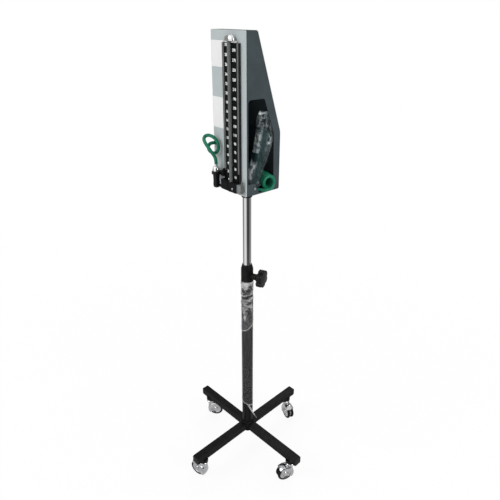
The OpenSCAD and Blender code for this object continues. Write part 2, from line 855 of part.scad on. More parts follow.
// Flanged, slightly waisted cylinder with a rounded foot
module reservoir_body() {
    r = reservoir_d / 2;
    foot = 5;
    color(BLACK)
    difference() {
        in_reservoir(0) rotate_extrude() polygon([
            [0, foot], [r * 0.62, foot], [r * 0.88, foot + 1.5], [r, foot + 6], [r * 0.93, foot + 16],
            [r * 0.97, reservoir_top - 12], [r, reservoir_top - 8.5], [flange_d / 2, reservoir_top - 6.5],
            [flange_d / 2, reservoir_top - 1], [flange_d / 2 - 1, reservoir_top], [0, reservoir_top]
        ]);
        in_reservoir(pool_foot) cylinder(d = reservoir_bore, h = 60);
        bar_across(link_bore, reservoir_across, reservoir_across + reservoir_d, -link_out, link_up);
    }
}

dome_foot = reservoir_top + 1;
dome_h = 13;
nipple_top = dome_foot + dome_h + 3;
// Chrome dome with a short neck that the hose pushes on to
module reservoir_cap() {
    r = dome_d / 2;
    color(CHROME)
    in_reservoir(dome_foot) difference() {
        rotate_extrude() polygon(concat(
            [[0, 0], [r, 0], [r, 2.5]],
            [for (t = [10 : 10 : 70]) [r * cos(t), 2.5 + (dome_h - 2.5) * sin(t)]],
            [[3.2, dome_h], [3.2, dome_h + 3], [0, dome_h + 3]]
        ));
        translate([0, 0, -1]) cylinder(d = reservoir_bore, h = 6);
        cylinder(d = 2.4, h = 30);
    }
}

// Arm that ties the reservoir's mouth to the scale channel
module reservoir_arm() {
    color(BLACK)
    difference() {
        on_panel(0, 10) polygon([
            [reservoir_across, reservoir_top - 7], [channel_left, reservoir_top - 9],
            [channel_left, reservoir_top + 11], [channel_left - 8, reservoir_top + 1],
            [reservoir_across, reservoir_top - 1]
        ]);
        in_reservoir(0) cylinder(d = flange_d + fit, h = 80);
    }
}

// ---- Hoses, in [across, back, up] ----

hose_r = hose_d / 2;
meet_back = panel_t / 2;
tail_up = housing_wall + 1 + hose_r + 0.4;
LOOP_ROUTE = [
    [24, -14, 62], [24, -14, 64], [24, -14, 67], [24.5, -15.2, 72], [25.8, -18, 80], [23.5, -24, 90],
    [17, -28, 100],
    [7.5, -30, 111], [-1.5, -28, 119], [-2, -23, 125], [6, -17, 126], [18, -11.5, 121],
    [26.5, -8.5, 111], [27.5, -8.5, 98], [21, -10.5, 88], [10, -14.5, 86], [1.5, -18, 93],
    [1, -18.5, 103], [6, -14.5, 109], [9, -8, 109], [9, -3, 109], [9, meet_back, 109]
];
DROP_ROUTE = [
    [9, meet_back, 109], [9, 7, 109], [9, 14, 108.5], [12, 24, 104], [21, 35, 94],
    [36, 45, 79], [52, 51, 65], [65, 55, 54], [75, 59.5, 46.5], [82.5, 65, 41]
];
TAIL_ROUTE = [
    [122.5, 54, tail_up], [118, 50, tail_up], [111, 47, tail_up], [106, 42, tail_up],
    [104.5, 35, tail_up], [104, 27, tail_up], [102.5, 20.5, tail_up], [99, 16.7, tail_up]
];
CONNECTOR = [73, 16, tail_up];
connector_len = 22;
CUFF_FOOT = [97, 36, 15.5];
cuff_lean = 16.5;
cuff_half_x = 12.5;
cuff_ripple = 0.035;
// A place on the cuff's inner face, a distance along it from its foot
function cuff_side(along) = CUFF_FOOT
    + [-cuff_half_x * (1 + cuff_ripple) - 0.1, along * sin(cuff_lean), along * cos(cuff_lean)];
BULB_AT = [30, 62];
bulb_foot = 9;
bulb_len = 62;
neck_top = bulb_foot + bulb_len + 26;
CUFF_TUBE_ROUTE = [
    cuff_side(36), cuff_side(36) - [5, 0, 0], [71, 46, 48], [65, 44, 42], [61, 39, 33],
    [60, 32, 22], [60, 25, 13], [62, 19, tail_up + 0.6], [67, 16, tail_up], [CONNECTOR[0], 16, tail_up]
];
BULB_TUBE_ROUTE = [
    [BULB_AT[0], BULB_AT[1], neck_top], [BULB_AT[0], BULB_AT[1], neck_top + 5], [33, 62, neck_top + 14],
    [42, 62, neck_top + 21], [54, 62, neck_top + 22], [66, 62, neck_top + 17],
    cuff_side(93) - [7, 0, 0], cuff_side(93)
];

// Coil: its loops advance towards the window, and its centre comes forward as they do
loop_pitch = 11;
coil_out = 122.2;
coil_back = 68.5;
coil_lean = 0.35;
coil_up = loop_r + tail_up;
coil_turns = loops + 0.5;
loop_steps = 24;
function coil_point(t) =
    let (a = coil_out - (loops + 0.25 - t) * loop_pitch, w = 90 - 360 * t)
    [a, coil_back + coil_lean * (coil_out - a) + loop_r * cos(w), coil_up + loop_r * sin(w)];
coil_line = [for (i = [0 : coil_turns * loop_steps]) coil_point(i / loop_steps)];
coil_in = coil_line[0] - [0, hose_d, 0];
coil_end = coil_line[len(coil_line) - 1] - [0, hose_d, 0];
COIL_ROUTE = concat([coil_in], coil_line, [coil_end]);
drop_path = concat(DROP_ROUTE, [coil_in - [0, 3, 0], coil_in]);
tail_path = concat(
    [coil_end, coil_end - [0, 2, 0]], TAIL_ROUTE,
    [CONNECTOR + [connector_len + 2, 0, 0], CONNECTOR + [connector_len, 0, 0]]
);

// The least gap between two turns of the coil, measured point to point
turn_gap = min([for (i = [0 : len(COIL_ROUTE) - 1])
    for (j = [i + loop_steps / 2 : 1 : len(COIL_ROUTE) - 1])
        norm(COIL_ROUTE[i] - COIL_ROUTE[j])]) - hose_d;
echo("least gap between the coil's turns, mm", turn_gap);

function route_in_head(p) = [for (q = p) in_head(q)];

module loop_hose() {
    color(GREEN) swept_tube(route_in_head(curve(LOOP_ROUTE, 2)), hose_d, 10);
}
module hose_leads() {
    color(GREEN) {
        swept_tube(route_in_head(drop_path), hose_d, 8);
        swept_tube(route_in_head(tail_path), hose_d, 8);
    }
}
module hose_coil() {
    color(GREEN) swept_tube(route_in_head(COIL_ROUTE), hose_d, 6, [1, 0, 0]);
}
module cuff_tubes() {
    color(BLACK) {
        swept_tube(route_in_head(CUFF_TUBE_ROUTE), small_tube_d, 8);
        swept_tube(route_in_head(BULB_TUBE_ROUTE), small_tube_d, 8);
    }
}

module hose_grommet() {
    out = 1.6;
    color(RUBBER)
    translate(in_head([GROMMET[0], panel_t + out, GROMMET[1]])) rotate([90, 0, 0]) difference() {
        rotate_extrude() polygon([
            [0, 0], [grommet_d / 2, 0], [grommet_d / 2, out - 0.05],
            [grommet_hole / 2 - 0.05, out - 0.05], [grommet_hole / 2 - 0.05, out + panel_t + 0.05],
            [grommet_d / 2, out + panel_t + 0.05], [grommet_d / 2 - 0.6, 2 * out + panel_t],
            [0, 2 * out + panel_t]
        ]);
        translate([0, 0, -1]) cylinder(d = hose_d + fit, h = 20);
    }
}

// Push-together connector between the hose and the cuff's tube
module tube_connector() {
    end = connector_len;
    color(WHITE)
    translate(in_head(CONNECTOR)) rotate([0, 90, 0]) rotate_extrude() polygon([
        [0, 0], [2.8, 0], [2.8, 5], [4.4, 5], [4.4, 10], [3.6, 11], [3.6, 13],
        [4.6, 14], [4.6, end - 4], [3.4, end - 3], [3.4, end], [0, end]
    ]);
}

// ---- Cuff and bulb ----

// Half width of the folded cuff along its length, from 0 at the foot to 1 at the top
function cuff_half_y(s) = 12.5 + 8.5 * s;
function cuff_ring(s, sides) =
    let (end = 1 - pow(abs(2 * s - 1), 10) * 0.35)
    [for (i = [0 : sides - 1])
        let (t = 360 * i / sides, c = cos(t), w = sin(t))
        let (layer = 1 + cuff_ripple * cos(6 * t))
        [sign(c) * pow(abs(c), 0.7) * cuff_half_x * end * layer,
            sign(w) * pow(abs(w), 0.7) * cuff_half_y(s) * end * layer, s * cuff_len]];

module cuff() {
    sides = 36;
    rings = 15;
    p = [for (i = [0 : rings]) each cuff_ring(i / rings, sides)];
    walls = [for (i = [0 : rings - 1]) for (s = [0 : sides - 1])
        let (a = i * sides + s, b = i * sides + (s + 1) % sides)
        each [[a, a + sides, b], [b, a + sides, b + sides]]];
    last = rings * sides;
    foot = [for (s = [1 : sides - 2]) [0, s, s + 1]];
    top = [for (s = [1 : sides - 2]) [last, last + s + 1, last + s]];
    color("#1d4650")
    translate(in_head(CUFF_FOOT)) rotate([-cuff_lean, 0, 0])
        polyhedron(p, concat(walls, foot, top));
}

// Strap of hook tape round the folded cuff
module cuff_strap() {
    at = 0.5;
    half = 10.5;
    x = cuff_half_x * (1 + cuff_ripple) + 0.25;
    y = cuff_half_y(at + half / cuff_len) * (1 - cuff_ripple) + 0.25;
    t = 1.2;
    color("#16323a")
    translate(in_head(CUFF_FOOT)) rotate([-cuff_lean, 0, 0]) translate([0, 0, at * cuff_len - half])
        linear_extrude(2 * half) difference() {
            rounded_box(-x - t, x + t, -y - t, y + t, 7);
            rounded_box(-x, x, -y, y, 7 - t);
        }
}

module bulb_frame(up) {
    translate(in_head([BULB_AT[0], BULB_AT[1], up])) children();
}
function bulb_r(s) = bulb_d / 2 * pow(sin(180 * (0.1 + 0.8 * s)), 0.62);

module bulb() {
    color(RUBBER)
    bulb_frame(bulb_foot) rotate_extrude() polygon(concat(
        [[0, 0]],
        [for (i = [0 : 12]) [bulb_r(i / 12), bulb_len * i / 12]],
        [[0, bulb_len]]
    ));
}

// Non-return valve in the bulb's foot
module bulb_end_valve() {
    color(CHROME)
    bulb_frame(housing_wall + touch) rotate_extrude() polygon([
        [0, 0], [5.5, 0], [6.5, 1], [6.5, 4], [5, bulb_foot - housing_wall - touch],
        [0, bulb_foot - housing_wall - touch]
    ]);
}

valve_foot = bulb_foot + bulb_len;
release_up = valve_foot + 8;
// Air-release valve on the bulb's mouth, bored across for its screw
module release_valve() {
    color(CHROME)
    difference() {
        bulb_frame(valve_foot) rotate_extrude() polygon([
            [0, 0], [8, 0], [8, 1.5], [6.5, 3], [6.5, 13], [5, 15], [3, 16],
            [3, neck_top - valve_foot], [0, neck_top - valve_foot]
        ]);
        translate(in_head([BULB_AT[0], BULB_AT[1], release_up])) rotate([0, 90, 0])
            cylinder(d = 4 + 2 * run_gap, h = 20);
    }
}

module release_pin() {
    color(STEEL)
    translate(in_head([BULB_AT[0] + 1, BULB_AT[1], release_up])) rotate([0, 90, 0])
        cylinder(d = 4, h = 7.5);
}

module release_knob() {
    color(CHROME)
    translate(in_head([BULB_AT[0] + 8.6, BULB_AT[1], release_up])) rotate([0, 90, 0]) difference() {
        cylinder(d = 11, h = 6);
        for (i = [0 : 11]) rotate(i * 30) translate([5.9, 0, -1]) cylinder(d = 1.4, h = 8);
    }
}

// ---- Drawing ----

base_hub();
legs();
leg_end_caps();
caster_sockets();
for (i = [0 : 3]) {
    caster_frame(i) caster_housing();
    caster_frame(i) caster_tyres();
    caster_frame(i) caster_discs();
}
column();
column_plug();
column_bolt();
clamp_collar();
clamp_nut();
clamp_pad();
clamp_screw();
clamp_knob();
tube_bush();
inner_tube();
head_socket();
head_screws();
rear_housing();
front_panel();
blank_plates();
scale_channel();
scale_rails();
scale_strip();
glass_tube();
mercury();
base_block();
block_cover();
gaskets();
top_seat();
top_cap();
valve_seat();
valve_lever();
reservoir_body();
reservoir_cap();
reservoir_arm();
hose_grommet();
loop_hose();
hose_leads();
hose_coil();
tube_connector();
cuff();
cuff_strap();
cuff_tubes();
bulb();
bulb_end_valve();
release_valve();
release_pin();
release_knob();
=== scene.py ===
import bmesh
import bpy
import json
import math
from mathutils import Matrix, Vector, noise
from mathutils.kdtree import KDTree


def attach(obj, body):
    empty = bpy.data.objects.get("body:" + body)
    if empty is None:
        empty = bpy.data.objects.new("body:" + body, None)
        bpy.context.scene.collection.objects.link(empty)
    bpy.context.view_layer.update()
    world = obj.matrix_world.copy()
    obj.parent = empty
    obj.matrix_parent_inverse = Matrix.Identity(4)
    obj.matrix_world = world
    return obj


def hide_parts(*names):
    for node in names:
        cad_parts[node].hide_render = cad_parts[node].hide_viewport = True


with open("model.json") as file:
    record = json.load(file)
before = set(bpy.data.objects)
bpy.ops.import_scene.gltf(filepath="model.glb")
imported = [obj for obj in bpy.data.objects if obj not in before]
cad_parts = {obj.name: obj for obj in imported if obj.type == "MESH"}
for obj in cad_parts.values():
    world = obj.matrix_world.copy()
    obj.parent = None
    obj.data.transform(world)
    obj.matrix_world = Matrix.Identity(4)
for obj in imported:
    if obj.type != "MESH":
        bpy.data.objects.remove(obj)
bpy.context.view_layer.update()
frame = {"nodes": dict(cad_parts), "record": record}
scene = bpy.context.scene

MM = 0.001
# The head box's width and depth, and the height of its underside, in mm
HEAD_W, HEAD_D, HEAD_Z = 118, 104, 863


def in_head(p):
    """A place in the head, [across, back, up] in mm from its lower front left corner, in metres."""
    return Vector(((p[0] - HEAD_W / 2) * MM, (p[1] - HEAD_D / 2) * MM, (p[2] + HEAD_Z) * MM))


# ---- Camera ----

camera = bpy.data.objects.new("camera", bpy.data.cameras.new("camera"))
camera.data.lens = 35.048
camera.data.sensor_width = 36
camera.location = (0.8796, -0.7359, 1.2503)
camera.rotation_euler = (math.radians(63.93), 0, math.radians(49.7))
scene.collection.objects.link(camera)
scene.camera = camera


# ---- Shader building ----

def new_look(name):
    mat = bpy.data.materials.new(name)
    mat.use_nodes = True
    return mat, mat.node_tree, mat.node_tree.nodes["Principled BSDF"]


def put(tree, kind, inputs=None, **props):
    """A shader node with its properties set and its inputs set or linked."""
    node = tree.nodes.new("ShaderNode" + kind)
    for key, value in props.items():
        setattr(node, key, value)
    for key, value in (inputs or {}).items():
        if isinstance(value, bpy.types.NodeSocket):
            tree.links.new(value, node.inputs[key])
        else:
            node.inputs[key].default_value = value
    return node


def coords(tree, stretch=(1, 1, 1)):
    place = put(tree, "TexCoord").outputs["Object"]
    if stretch == (1, 1, 1):
        return place
    return put(tree, "VectorMath", {0: place, 1: stretch}, operation="MULTIPLY").outputs[0]


def speckle(tree, scale, detail=4, stretch=(1, 1, 1), roughness=0.55, distortion=0.0):
    return put(tree, "TexNoise", {"Vector": coords(tree, stretch), "Scale": scale, "Detail": detail,
                                  "Roughness": roughness, "Distortion": distortion}).outputs["Fac"]


def spread(tree, fac, low, high, start=0.35, end=0.65):
    return put(tree, "MapRange", {"Value": fac, "From Min": start, "From Max": end,
                                  "To Min": low, "To Max": high}).outputs[0]


def maths(tree, operation, a, b=0.0, clamp=False):
    return put(tree, "Math", {0: a, 1: b}, operation=operation, use_clamp=clamp).outputs[0]


def blend_colour(tree, fac, a, b):
    node = put(tree, "Mix", {0: fac}, data_type="RGBA")
    for slot_index, value in ((6, a), (7, b)):
        if isinstance(value, bpy.types.NodeSocket):
            tree.links.new(value, node.inputs[slot_index])
        else:
            node.inputs[slot_index].default_value = (*value, 1)
    return node.outputs[2]


def relief(tree, shader, height, strength, distance, **more):
    """A fine relief on the shader's surface."""
    bump = put(tree, "Bump", {"Height": height, "Strength": strength, "Distance": distance, **more})
    tree.links.new(bump.outputs[0], shader.inputs["Normal"])


def edges_of(tree, radius):
    """The rounded normal along edges, and a mask that is 1 on them."""
    rounded = put(tree, "Bevel", {"Radius": radius}, samples=4).outputs[0]
    flat = put(tree, "NewGeometry").outputs["Normal"]
    facing = put(tree, "VectorMath", {0: rounded, 1: flat}, operation="DOT_PRODUCT").outputs["Value"]
    return rounded, spread(tree, facing, 1.0, 0.0, 0.90, 0.995)


def surface(name, tones, rough, grain=60, vary=0.06, bump=0.15, bump_scale=1500, wear=None,
            edge=0.4 * MM, stretch=(1, 1, 1), **sockets):
    """A painted, moulded or metal surface: cloudy tone and gloss, a fine relief and worn edges."""
    mat, tree, shader = new_look(name)
    for key, value in sockets.items():
        shader.inputs[key.replace("_", " ")].default_value = value
    cloud = speckle(tree, grain, 5, stretch)
    colour = blend_colour(tree, spread(tree, cloud, 0, 1, 0.3, 0.7), tones[0], tones[1])
    rounded, on_edge = edges_of(tree, edge)
    if wear:
        chipped = maths(tree, "MULTIPLY", on_edge, spread(tree, speckle(tree, 900, 3), 0, 1, 0.45, 0.62))
        colour = blend_colour(tree, chipped, colour, wear)
    smear = speckle(tree, grain * 2.3, 4, stretch)
    tree.links.new(colour, shader.inputs["Base Color"])
    tree.links.new(spread(tree, smear, rough - vary, rough + vary), shader.inputs["Roughness"])
    relief(tree, shader, speckle(tree, bump_scale, 3, stretch), bump, 0.1 * MM, Normal=rounded)
    return mat


def woven(name, tones, pitch, rough=0.85, lift=0.5, **sockets):
    """Cloth whose threads cross at the given pitch, with a slight nap."""
    mat, tree, shader = new_look(name)
    for key, value in sockets.items():
        shader.inputs[key.replace("_", " ")].default_value = value
    place = put(tree, "SeparateXYZ", {0: coords(tree)})
    side = maths(tree, "ADD", place.outputs[0], place.outputs[1])
    turns = 2 * math.pi / pitch
    warp = maths(tree, "SINE", maths(tree, "MULTIPLY", side, turns))
    weft = maths(tree, "SINE", maths(tree, "MULTIPLY", place.outputs[2], turns))
    thread = maths(tree, "MULTIPLY", warp, weft)
    nap = speckle(tree, 700, 4)
    height = maths(tree, "ADD", maths(tree, "MULTIPLY", thread, 0.35), nap)
    patch = spread(tree, speckle(tree, 45, 4), 0, 1, 0.3, 0.7)
    colour = blend_colour(tree, patch, tones[0], tones[1])
    colour = blend_colour(tree, spread(tree, thread, 0.0, 0.35, -1, 1), colour, tones[2])
    tree.links.new(colour, shader.inputs["Base Color"])
    tree.links.new(spread(tree, nap, rough - 0.08, rough + 0.08), shader.inputs["Roughness"])
    relief(tree, shader, height, lift, 0.25 * MM)
    return mat


def clear_sheet(name, base, tone, rough, stretch=(1, 1, 1), scale=90, bump=0.4, fleck=0.35, rim=0.2):
    """Clear plastic sheet: nearly unseen where it is smooth, and white where its vertices' haze and painted
    glints say so; its crease lines are whitened as painted glints.
    """
    mat, tree, shader = new_look(name)
    shader.inputs["Specular IOR Level"].default_value = 0.5
    haze_and_glint = put(tree, "Attribute", attribute_name="haze_and_glint").outputs["Fac"]
    crease = speckle(tree, scale, 5, stretch, 0.6, 1.2)
    # Crease lines: whitened and made more opaque as painted glints.
    line = spread(tree, maths(tree, "ABSOLUTE", maths(tree, "SUBTRACT", crease, 0.5)), 1, 0, 0.0, 0.05)
    uneven = maths(tree, "ADD", maths(tree, "MULTIPLY", line, fleck), 1 - fleck / 2)
    # Seen edge-on the sheet whitens, partly as its thickness seen along and partly as a painted sheen.
    edge_on = put(tree, "LayerWeight", {"Blend": 0.25}).outputs["Facing"]
    alpha = maths(tree, "ADD", base, maths(tree, "MULTIPLY", haze_and_glint, uneven))
    outline = maths(tree, "MULTIPLY", maths(tree, "POWER", edge_on, 4.0), rim)
    alpha = maths(tree, "ADD", alpha, outline, True)
    # White along the crease lines where the haze is high: painted glints.
    colour = blend_colour(tree, maths(tree, "MULTIPLY", line, haze_and_glint), tone, (0.90, 0.92, 0.93))
    tree.links.new(alpha, shader.inputs["Alpha"])
    tree.links.new(colour, shader.inputs["Base Color"])
    tree.links.new(spread(tree, crease, rough * 0.7, rough * 1.5), shader.inputs["Roughness"])
    relief(tree, shader, crease, bump, 0.4 * MM)
    return mat


def thick_glass(name):
    """Thick glass over a dark ground: an even grey line along the tube, whose grey base colour is a painted
    sheen for the tube's highlights.
    """
    mat, tree, shader = new_look(name)
    shader.inputs["IOR"].default_value = 1.30
    shader.inputs["Transmission Weight"].default_value = 0.45
    smear = speckle(tree, 14, 2, (1, 1, 0.3))
    # The grey base colour is a painted sheen, standing in for the glass's highlights over the dark strip.
    colour = blend_colour(tree, spread(tree, smear, 0, 1), (0.195, 0.212, 0.212), (0.225, 0.245, 0.245))
    tree.links.new(colour, shader.inputs["Base Color"])
    tree.links.new(spread(tree, smear, 0.20, 0.28), shader.inputs["Roughness"])
    return mat


# ---- Looks: the record's material slots, then those of single pieces ----

LOOK = {
    "black_base": surface("black_base", ((0.004, 0.004, 0.004), (0.009, 0.009, 0.009)), 0.38,
                          wear=(0.045, 0.045, 0.045), Specular_IOR_Level=0.06),
    "black_pole": surface("black_pole", ((0.007, 0.007, 0.007), (0.013, 0.013, 0.013)), 0.34,
                          stretch=(1, 1, 0.2), wear=(0.04, 0.04, 0.04), Specular_IOR_Level=0.08),
    "black_plastic": surface("black_plastic", ((0.005, 0.005, 0.005), (0.011, 0.011, 0.011)), 0.42,
                             bump=0.35, bump_scale=2600, wear=(0.03, 0.03, 0.03), Specular_IOR_Level=0.09),
    "black_gloss": surface("black_gloss", ((0.004, 0.004, 0.005), (0.008, 0.008, 0.009)), 0.20, bump=0.05,
                           Specular_IOR_Level=0.15, Coat_Weight=0.12, Coat_Roughness=0.08),
    "zinc_steel": surface("zinc_steel", ((0.50, 0.51, 0.52), (0.64, 0.65, 0.66)), 0.33, grain=240,
                          wear=(0.75, 0.76, 0.77), Metallic=1.0),
    "brass_insert": surface("brass_insert", ((0.62, 0.44, 0.17), (0.74, 0.56, 0.26)), 0.30, grain=200,
                            wear=(0.82, 0.66, 0.36), Metallic=1.0),
    "white_plastic": surface("white_plastic", ((0.77, 0.77, 0.75), (0.82, 0.82, 0.80)), 0.38,
                             wear=(0.88, 0.88, 0.86), Specular_IOR_Level=0.3),
    "chrome_tube": surface("chrome_tube", ((0.60, 0.60, 0.60), (0.72, 0.72, 0.72)), 0.09, grain=30,
                           vary=0.03, bump=0.02, bump_scale=300, stretch=(1, 1, 0.12), Metallic=1.0),
    "chrome_trim": surface("chrome_trim", ((0.72, 0.73, 0.74), (0.84, 0.85, 0.86)), 0.09, grain=90,
                           vary=0.03, bump=0.03, bump_scale=500, edge=0.8 * MM, Metallic=1.0),
    "chrome_caster": surface("chrome_caster", ((0.46, 0.46, 0.47), (0.72, 0.73, 0.74)), 0.12, grain=90,
                             vary=0.06, bump=0.10, bump_scale=160, wear=(0.30, 0.30, 0.29), edge=0.9 * MM,
                             Metallic=1.0),
    "slate_paint": surface("slate_paint", ((0.042, 0.056, 0.063), (0.054, 0.070, 0.078)), 0.50, grain=24,
                           bump=0.3, bump_scale=1900, wear=(0.10, 0.11, 0.115), Specular_IOR_Level=0.15),
    "grey_paint": surface("grey_paint", ((0.445, 0.490, 0.496), (0.480, 0.526, 0.532)), 0.45, grain=18,
                          bump=0.25, bump_scale=1900, wear=(0.62, 0.66, 0.66), edge=0.9 * MM,
                          Specular_IOR_Level=0.25),
    "white_plate": surface("white_plate", ((0.80, 0.81, 0.80), (0.83, 0.84, 0.83)), 0.34, grain=9,
                           wear=(0.88, 0.88, 0.88), Specular_IOR_Level=0.3),
    "black_channel": surface("black_channel", ((0.010, 0.012, 0.012), (0.020, 0.024, 0.024)), 0.40,
                             wear=(0.06, 0.06, 0.06), Specular_IOR_Level=0.12),
    "bright_rail": surface("bright_rail", ((0.28, 0.29, 0.29), (0.42, 0.43, 0.43)), 0.34, grain=260,
                           stretch=(1, 1, 0.06), wear=(0.58, 0.59, 0.59), Metallic=1.0),
    "scale_black": surface("scale_black", ((0.005, 0.006, 0.006), (0.009, 0.010, 0.010)), 0.34, bump=0.1,
                           Specular_IOR_Level=0.06),
    "mercury_metal": surface("mercury_metal", ((0.70, 0.71, 0.73), (0.80, 0.81, 0.83)), 0.05, vary=0.02,
                             bump=0.02, Metallic=1.0),
    "black_rubber": surface("black_rubber", ((0.010, 0.010, 0.010), (0.018, 0.018, 0.018)), 0.60, grain=110,
                            bump=0.4, bump_scale=1200, Specular_IOR_Level=0.15),
    "green_rubber": surface("green_rubber", ((0.006, 0.130, 0.072), (0.012, 0.200, 0.112)), 0.36, grain=70,
                            vary=0.08, bump=0.2, bump_scale=900, Specular_IOR_Level=0.25),
    "grey_plastic": surface("grey_plastic", ((0.16, 0.175, 0.18), (0.24, 0.255, 0.26)), 0.30,
                            wear=(0.38, 0.39, 0.39), Specular_IOR_Level=0.3),
    "black_tyre": surface("black_tyre", ((0.006, 0.006, 0.006), (0.016, 0.015, 0.014)), 0.66, grain=160,
                          bump=0.6, bump_scale=700, Specular_IOR_Level=0.12),
    "teal_cloth": woven("teal_cloth", ((0.009, 0.027, 0.028), (0.016, 0.042, 0.044), (0.005, 0.016, 0.017)),
                        0.9 * MM, Sheen_Weight=0.06, Sheen_Roughness=0.5, Specular_IOR_Level=0.15),
    "dark_strap": woven("dark_strap", ((0.006, 0.020, 0.021), (0.011, 0.030, 0.031), (0.003, 0.009, 0.010)),
                        1.3 * MM, lift=0.8, Specular_IOR_Level=0.12),
    "clear_glass": thick_glass("clear_glass"),
}
KNOB = surface("knob_moulding", ((0.003, 0.003, 0.003), (0.007, 0.007, 0.007)), 0.20, bump=0.12,
               bump_scale=1500, wear=(0.02, 0.02, 0.02), edge=0.9 * MM, Specular_IOR_Level=0.16)
PRINT = surface("white_print", ((0.90, 0.91, 0.89), (0.95, 0.96, 0.94)), 0.55, grain=400, bump=0.1,
                Specular_IOR_Level=0.2)
FINE_PRINT = surface("fine_print", ((0.13, 0.13, 0.13), (0.20, 0.20, 0.20)), 0.6, grain=600, bump=0.1,
                     Specular_IOR_Level=0.1)
BAG = clear_sheet("clear_bag", 0.022, (0.50, 0.58, 0.60), 0.16, (1, 1, 0.55), 75)
FILM = clear_sheet("clear_film", 0.012, (0.50, 0.50, 0.50), 0.34, (1, 1, 1.6), 60, bump=0.22, fleck=0.3,
                   rim=0.50)
STITCH = surface("stitch_thread", ((0.04, 0.09, 0.09), (0.06, 0.12, 0.12)), 0.8, grain=900, bump=0.6,
                 Specular_IOR_Level=0.1)

slot_of = {part["node"]: part["material_slot"] for part in frame["record"]["subparts"]}
for name, node in frame["nodes"].items():
    node.data.materials.clear()
    node.data.materials.append(KNOB if name == "clamp_knob" else LOOK[slot_of[name]])


# ---- Building pieces ----

def settle(obj, body, replaces=()):
    """The object is linked to the scene, rides on its body and stands for the CAD nodes that it replaces."""
    scene.collection.objects.link(obj)
    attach(obj, body)
    if replaces:
        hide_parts(*replaces)
    return obj


def piece(name, verts, faces, look, body, smooth=True, replaces=()):
    mesh = bpy.data.meshes.new(name)
    mesh.from_pydata([tuple(v) for v in verts], [], faces)
    bm = bmesh.new()
    bm.from_mesh(mesh)
    bmesh.ops.recalc_face_normals(bm, faces=bm.faces)
    bm.to_mesh(mesh)
    bm.free()
    mesh.polygons.foreach_set("use_smooth", [smooth] * len(mesh.polygons))
    mesh.materials.append(look)
    return settle(bpy.data.objects.new(name, mesh), body, replaces)


def turn_of(k, count):
    """The angle of the k-th of so many points round a circle."""
    return 2 * math.pi * k / count


def signed_power(x, power):
    return math.copysign(abs(x) ** power, x)


def shifted(faces, base):
    """The faces again, for points that start at the given number."""
    return [tuple(base + i for i in face) for face in faces]


def grid_faces(rows, cols, closed=True, caps=False):
    """Faces of a grid of points, wrapped round in its columns, with its ends filled or left open."""
    span = cols if closed else cols - 1
    faces = [(r * cols + c, r * cols + (c + 1) % cols, (r + 1) * cols + (c + 1) % cols, (r + 1) * cols + c)
             for r in range(rows - 1) for c in range(span)]
    if caps:
        faces.append(tuple(range(cols))[::-1])
        faces.append(tuple(range((rows - 1) * cols, rows * cols)))
    return faces


def tube_ring(centre, side, other, radius, sides):
    """The points of a small round section, in metres."""
    return [centre + (side * math.cos(turn_of(k, sides)) + other * math.sin(turn_of(k, sides))) * radius
            for k in range(sides)]


def through(points, steps=8):
    """A smooth curve through the points, in so many steps from each to the next."""
    pts = [Vector(p) for p in points]
    out = []
    for i in range(len(pts) - 1):
        a, b, c, d = pts[max(i - 1, 0)], pts[i], pts[i + 1], pts[min(i + 2, len(pts) - 1)]
        for j in range(steps):
            t = j / steps
            out.append(0.5 * (2 * b + (c - a) * t + (2 * a - 5 * b + 4 * c - d) * t * t
                              + (3 * b - a - 3 * c + d) * t * t * t))
    return out + [pts[-1]]


def eased(points, step, passes=6):
    """The line's points at even steps, with its sharp turns rounded off and its two ends kept."""
    pts = [Vector(p) for p in points]
    even, left = [pts[0]], step
    for a, b in zip(pts, pts[1:]):
        span = (b - a).length
        while span > left:
            a = a.lerp(b, left / span)
            even.append(a)
            span = (b - a).length
            left = step
        left -= span
    even.append(pts[-1])
    for _ in range(passes):
        inner = [(a + 2 * b + c) / 4 for a, b, c in zip(even, even[1:], even[2:])]
        even = [even[0], even[1]] + inner[1:-1] + [even[-2], even[-1]]
    return even


def rise(x, low, high):
    """0 below low, 1 above high, smoothly between."""
    t = min(1.0, max(0.0, (x - low) / (high - low)))
    return t * t * (3 - 2 * t)


def bump_at(x, middle, width):
    return math.exp(-((x - middle) / width) ** 2)


def noise_at(p, scale, seed=0.0):
    return noise.noise(Vector((p[0] * scale + seed, p[1] * scale - seed, p[2] * scale + 2 * seed)))


# The haze_and_glint attribute holds the sheet's haze and its painted glints, for the clear sheets' shader.
def set_haze(obj, values):
    layer = obj.data.attributes.new("haze_and_glint", "FLOAT", "POINT")
    layer.data.foreach_set("value", values)


# ---- Hoses: the pressure hose from the reservoir to the connector, and the cuff's two tubes ----

HOSE_D = 8
SMALL_TUBE_D = 6
LOOP_ROUTE = [
    (24, -14, 62), (24, -14, 64), (24, -14, 67), (24.5, -15.2, 72), (25.8, -18, 80), (23.5, -24, 90),
    (17, -28, 100), (7.5, -30.5, 110.5), (-2, -29, 119), (-3, -23.5, 126), (5.5, -16.5, 127.5),
    (18, -11, 122), (26.5, -8.5, 111), (27.5, -8.5, 98), (21, -10.5, 88), (10, -14.5, 86), (1.5, -18, 93),
    (1, -18.5, 103), (6, -14.5, 109), (9, -8, 109), (9, -3, 109), (9, 1.25, 109),
]
DROP_ROUTE = [
    (9, 1.25, 109), (9, 7, 109), (9, 14, 108.5), (12, 24, 104), (21, 35, 94), (36, 45, 79), (52, 51, 65),
    (65, 55, 54), (75, 59.5, 46.5), (82.5, 65, 41),
]
TAIL_ROUTE = [
    (122.5, 54, 7.4), (118, 50, 7.4), (111, 47, 7.4), (106, 42, 7.4), (104.5, 35, 7.4), (104, 27, 7.4),
    (102.5, 20.5, 7.4), (99, 16.7, 7.4),
]
CONNECTOR = (73, 16, 7.4)
CONNECTOR_LEN = 22
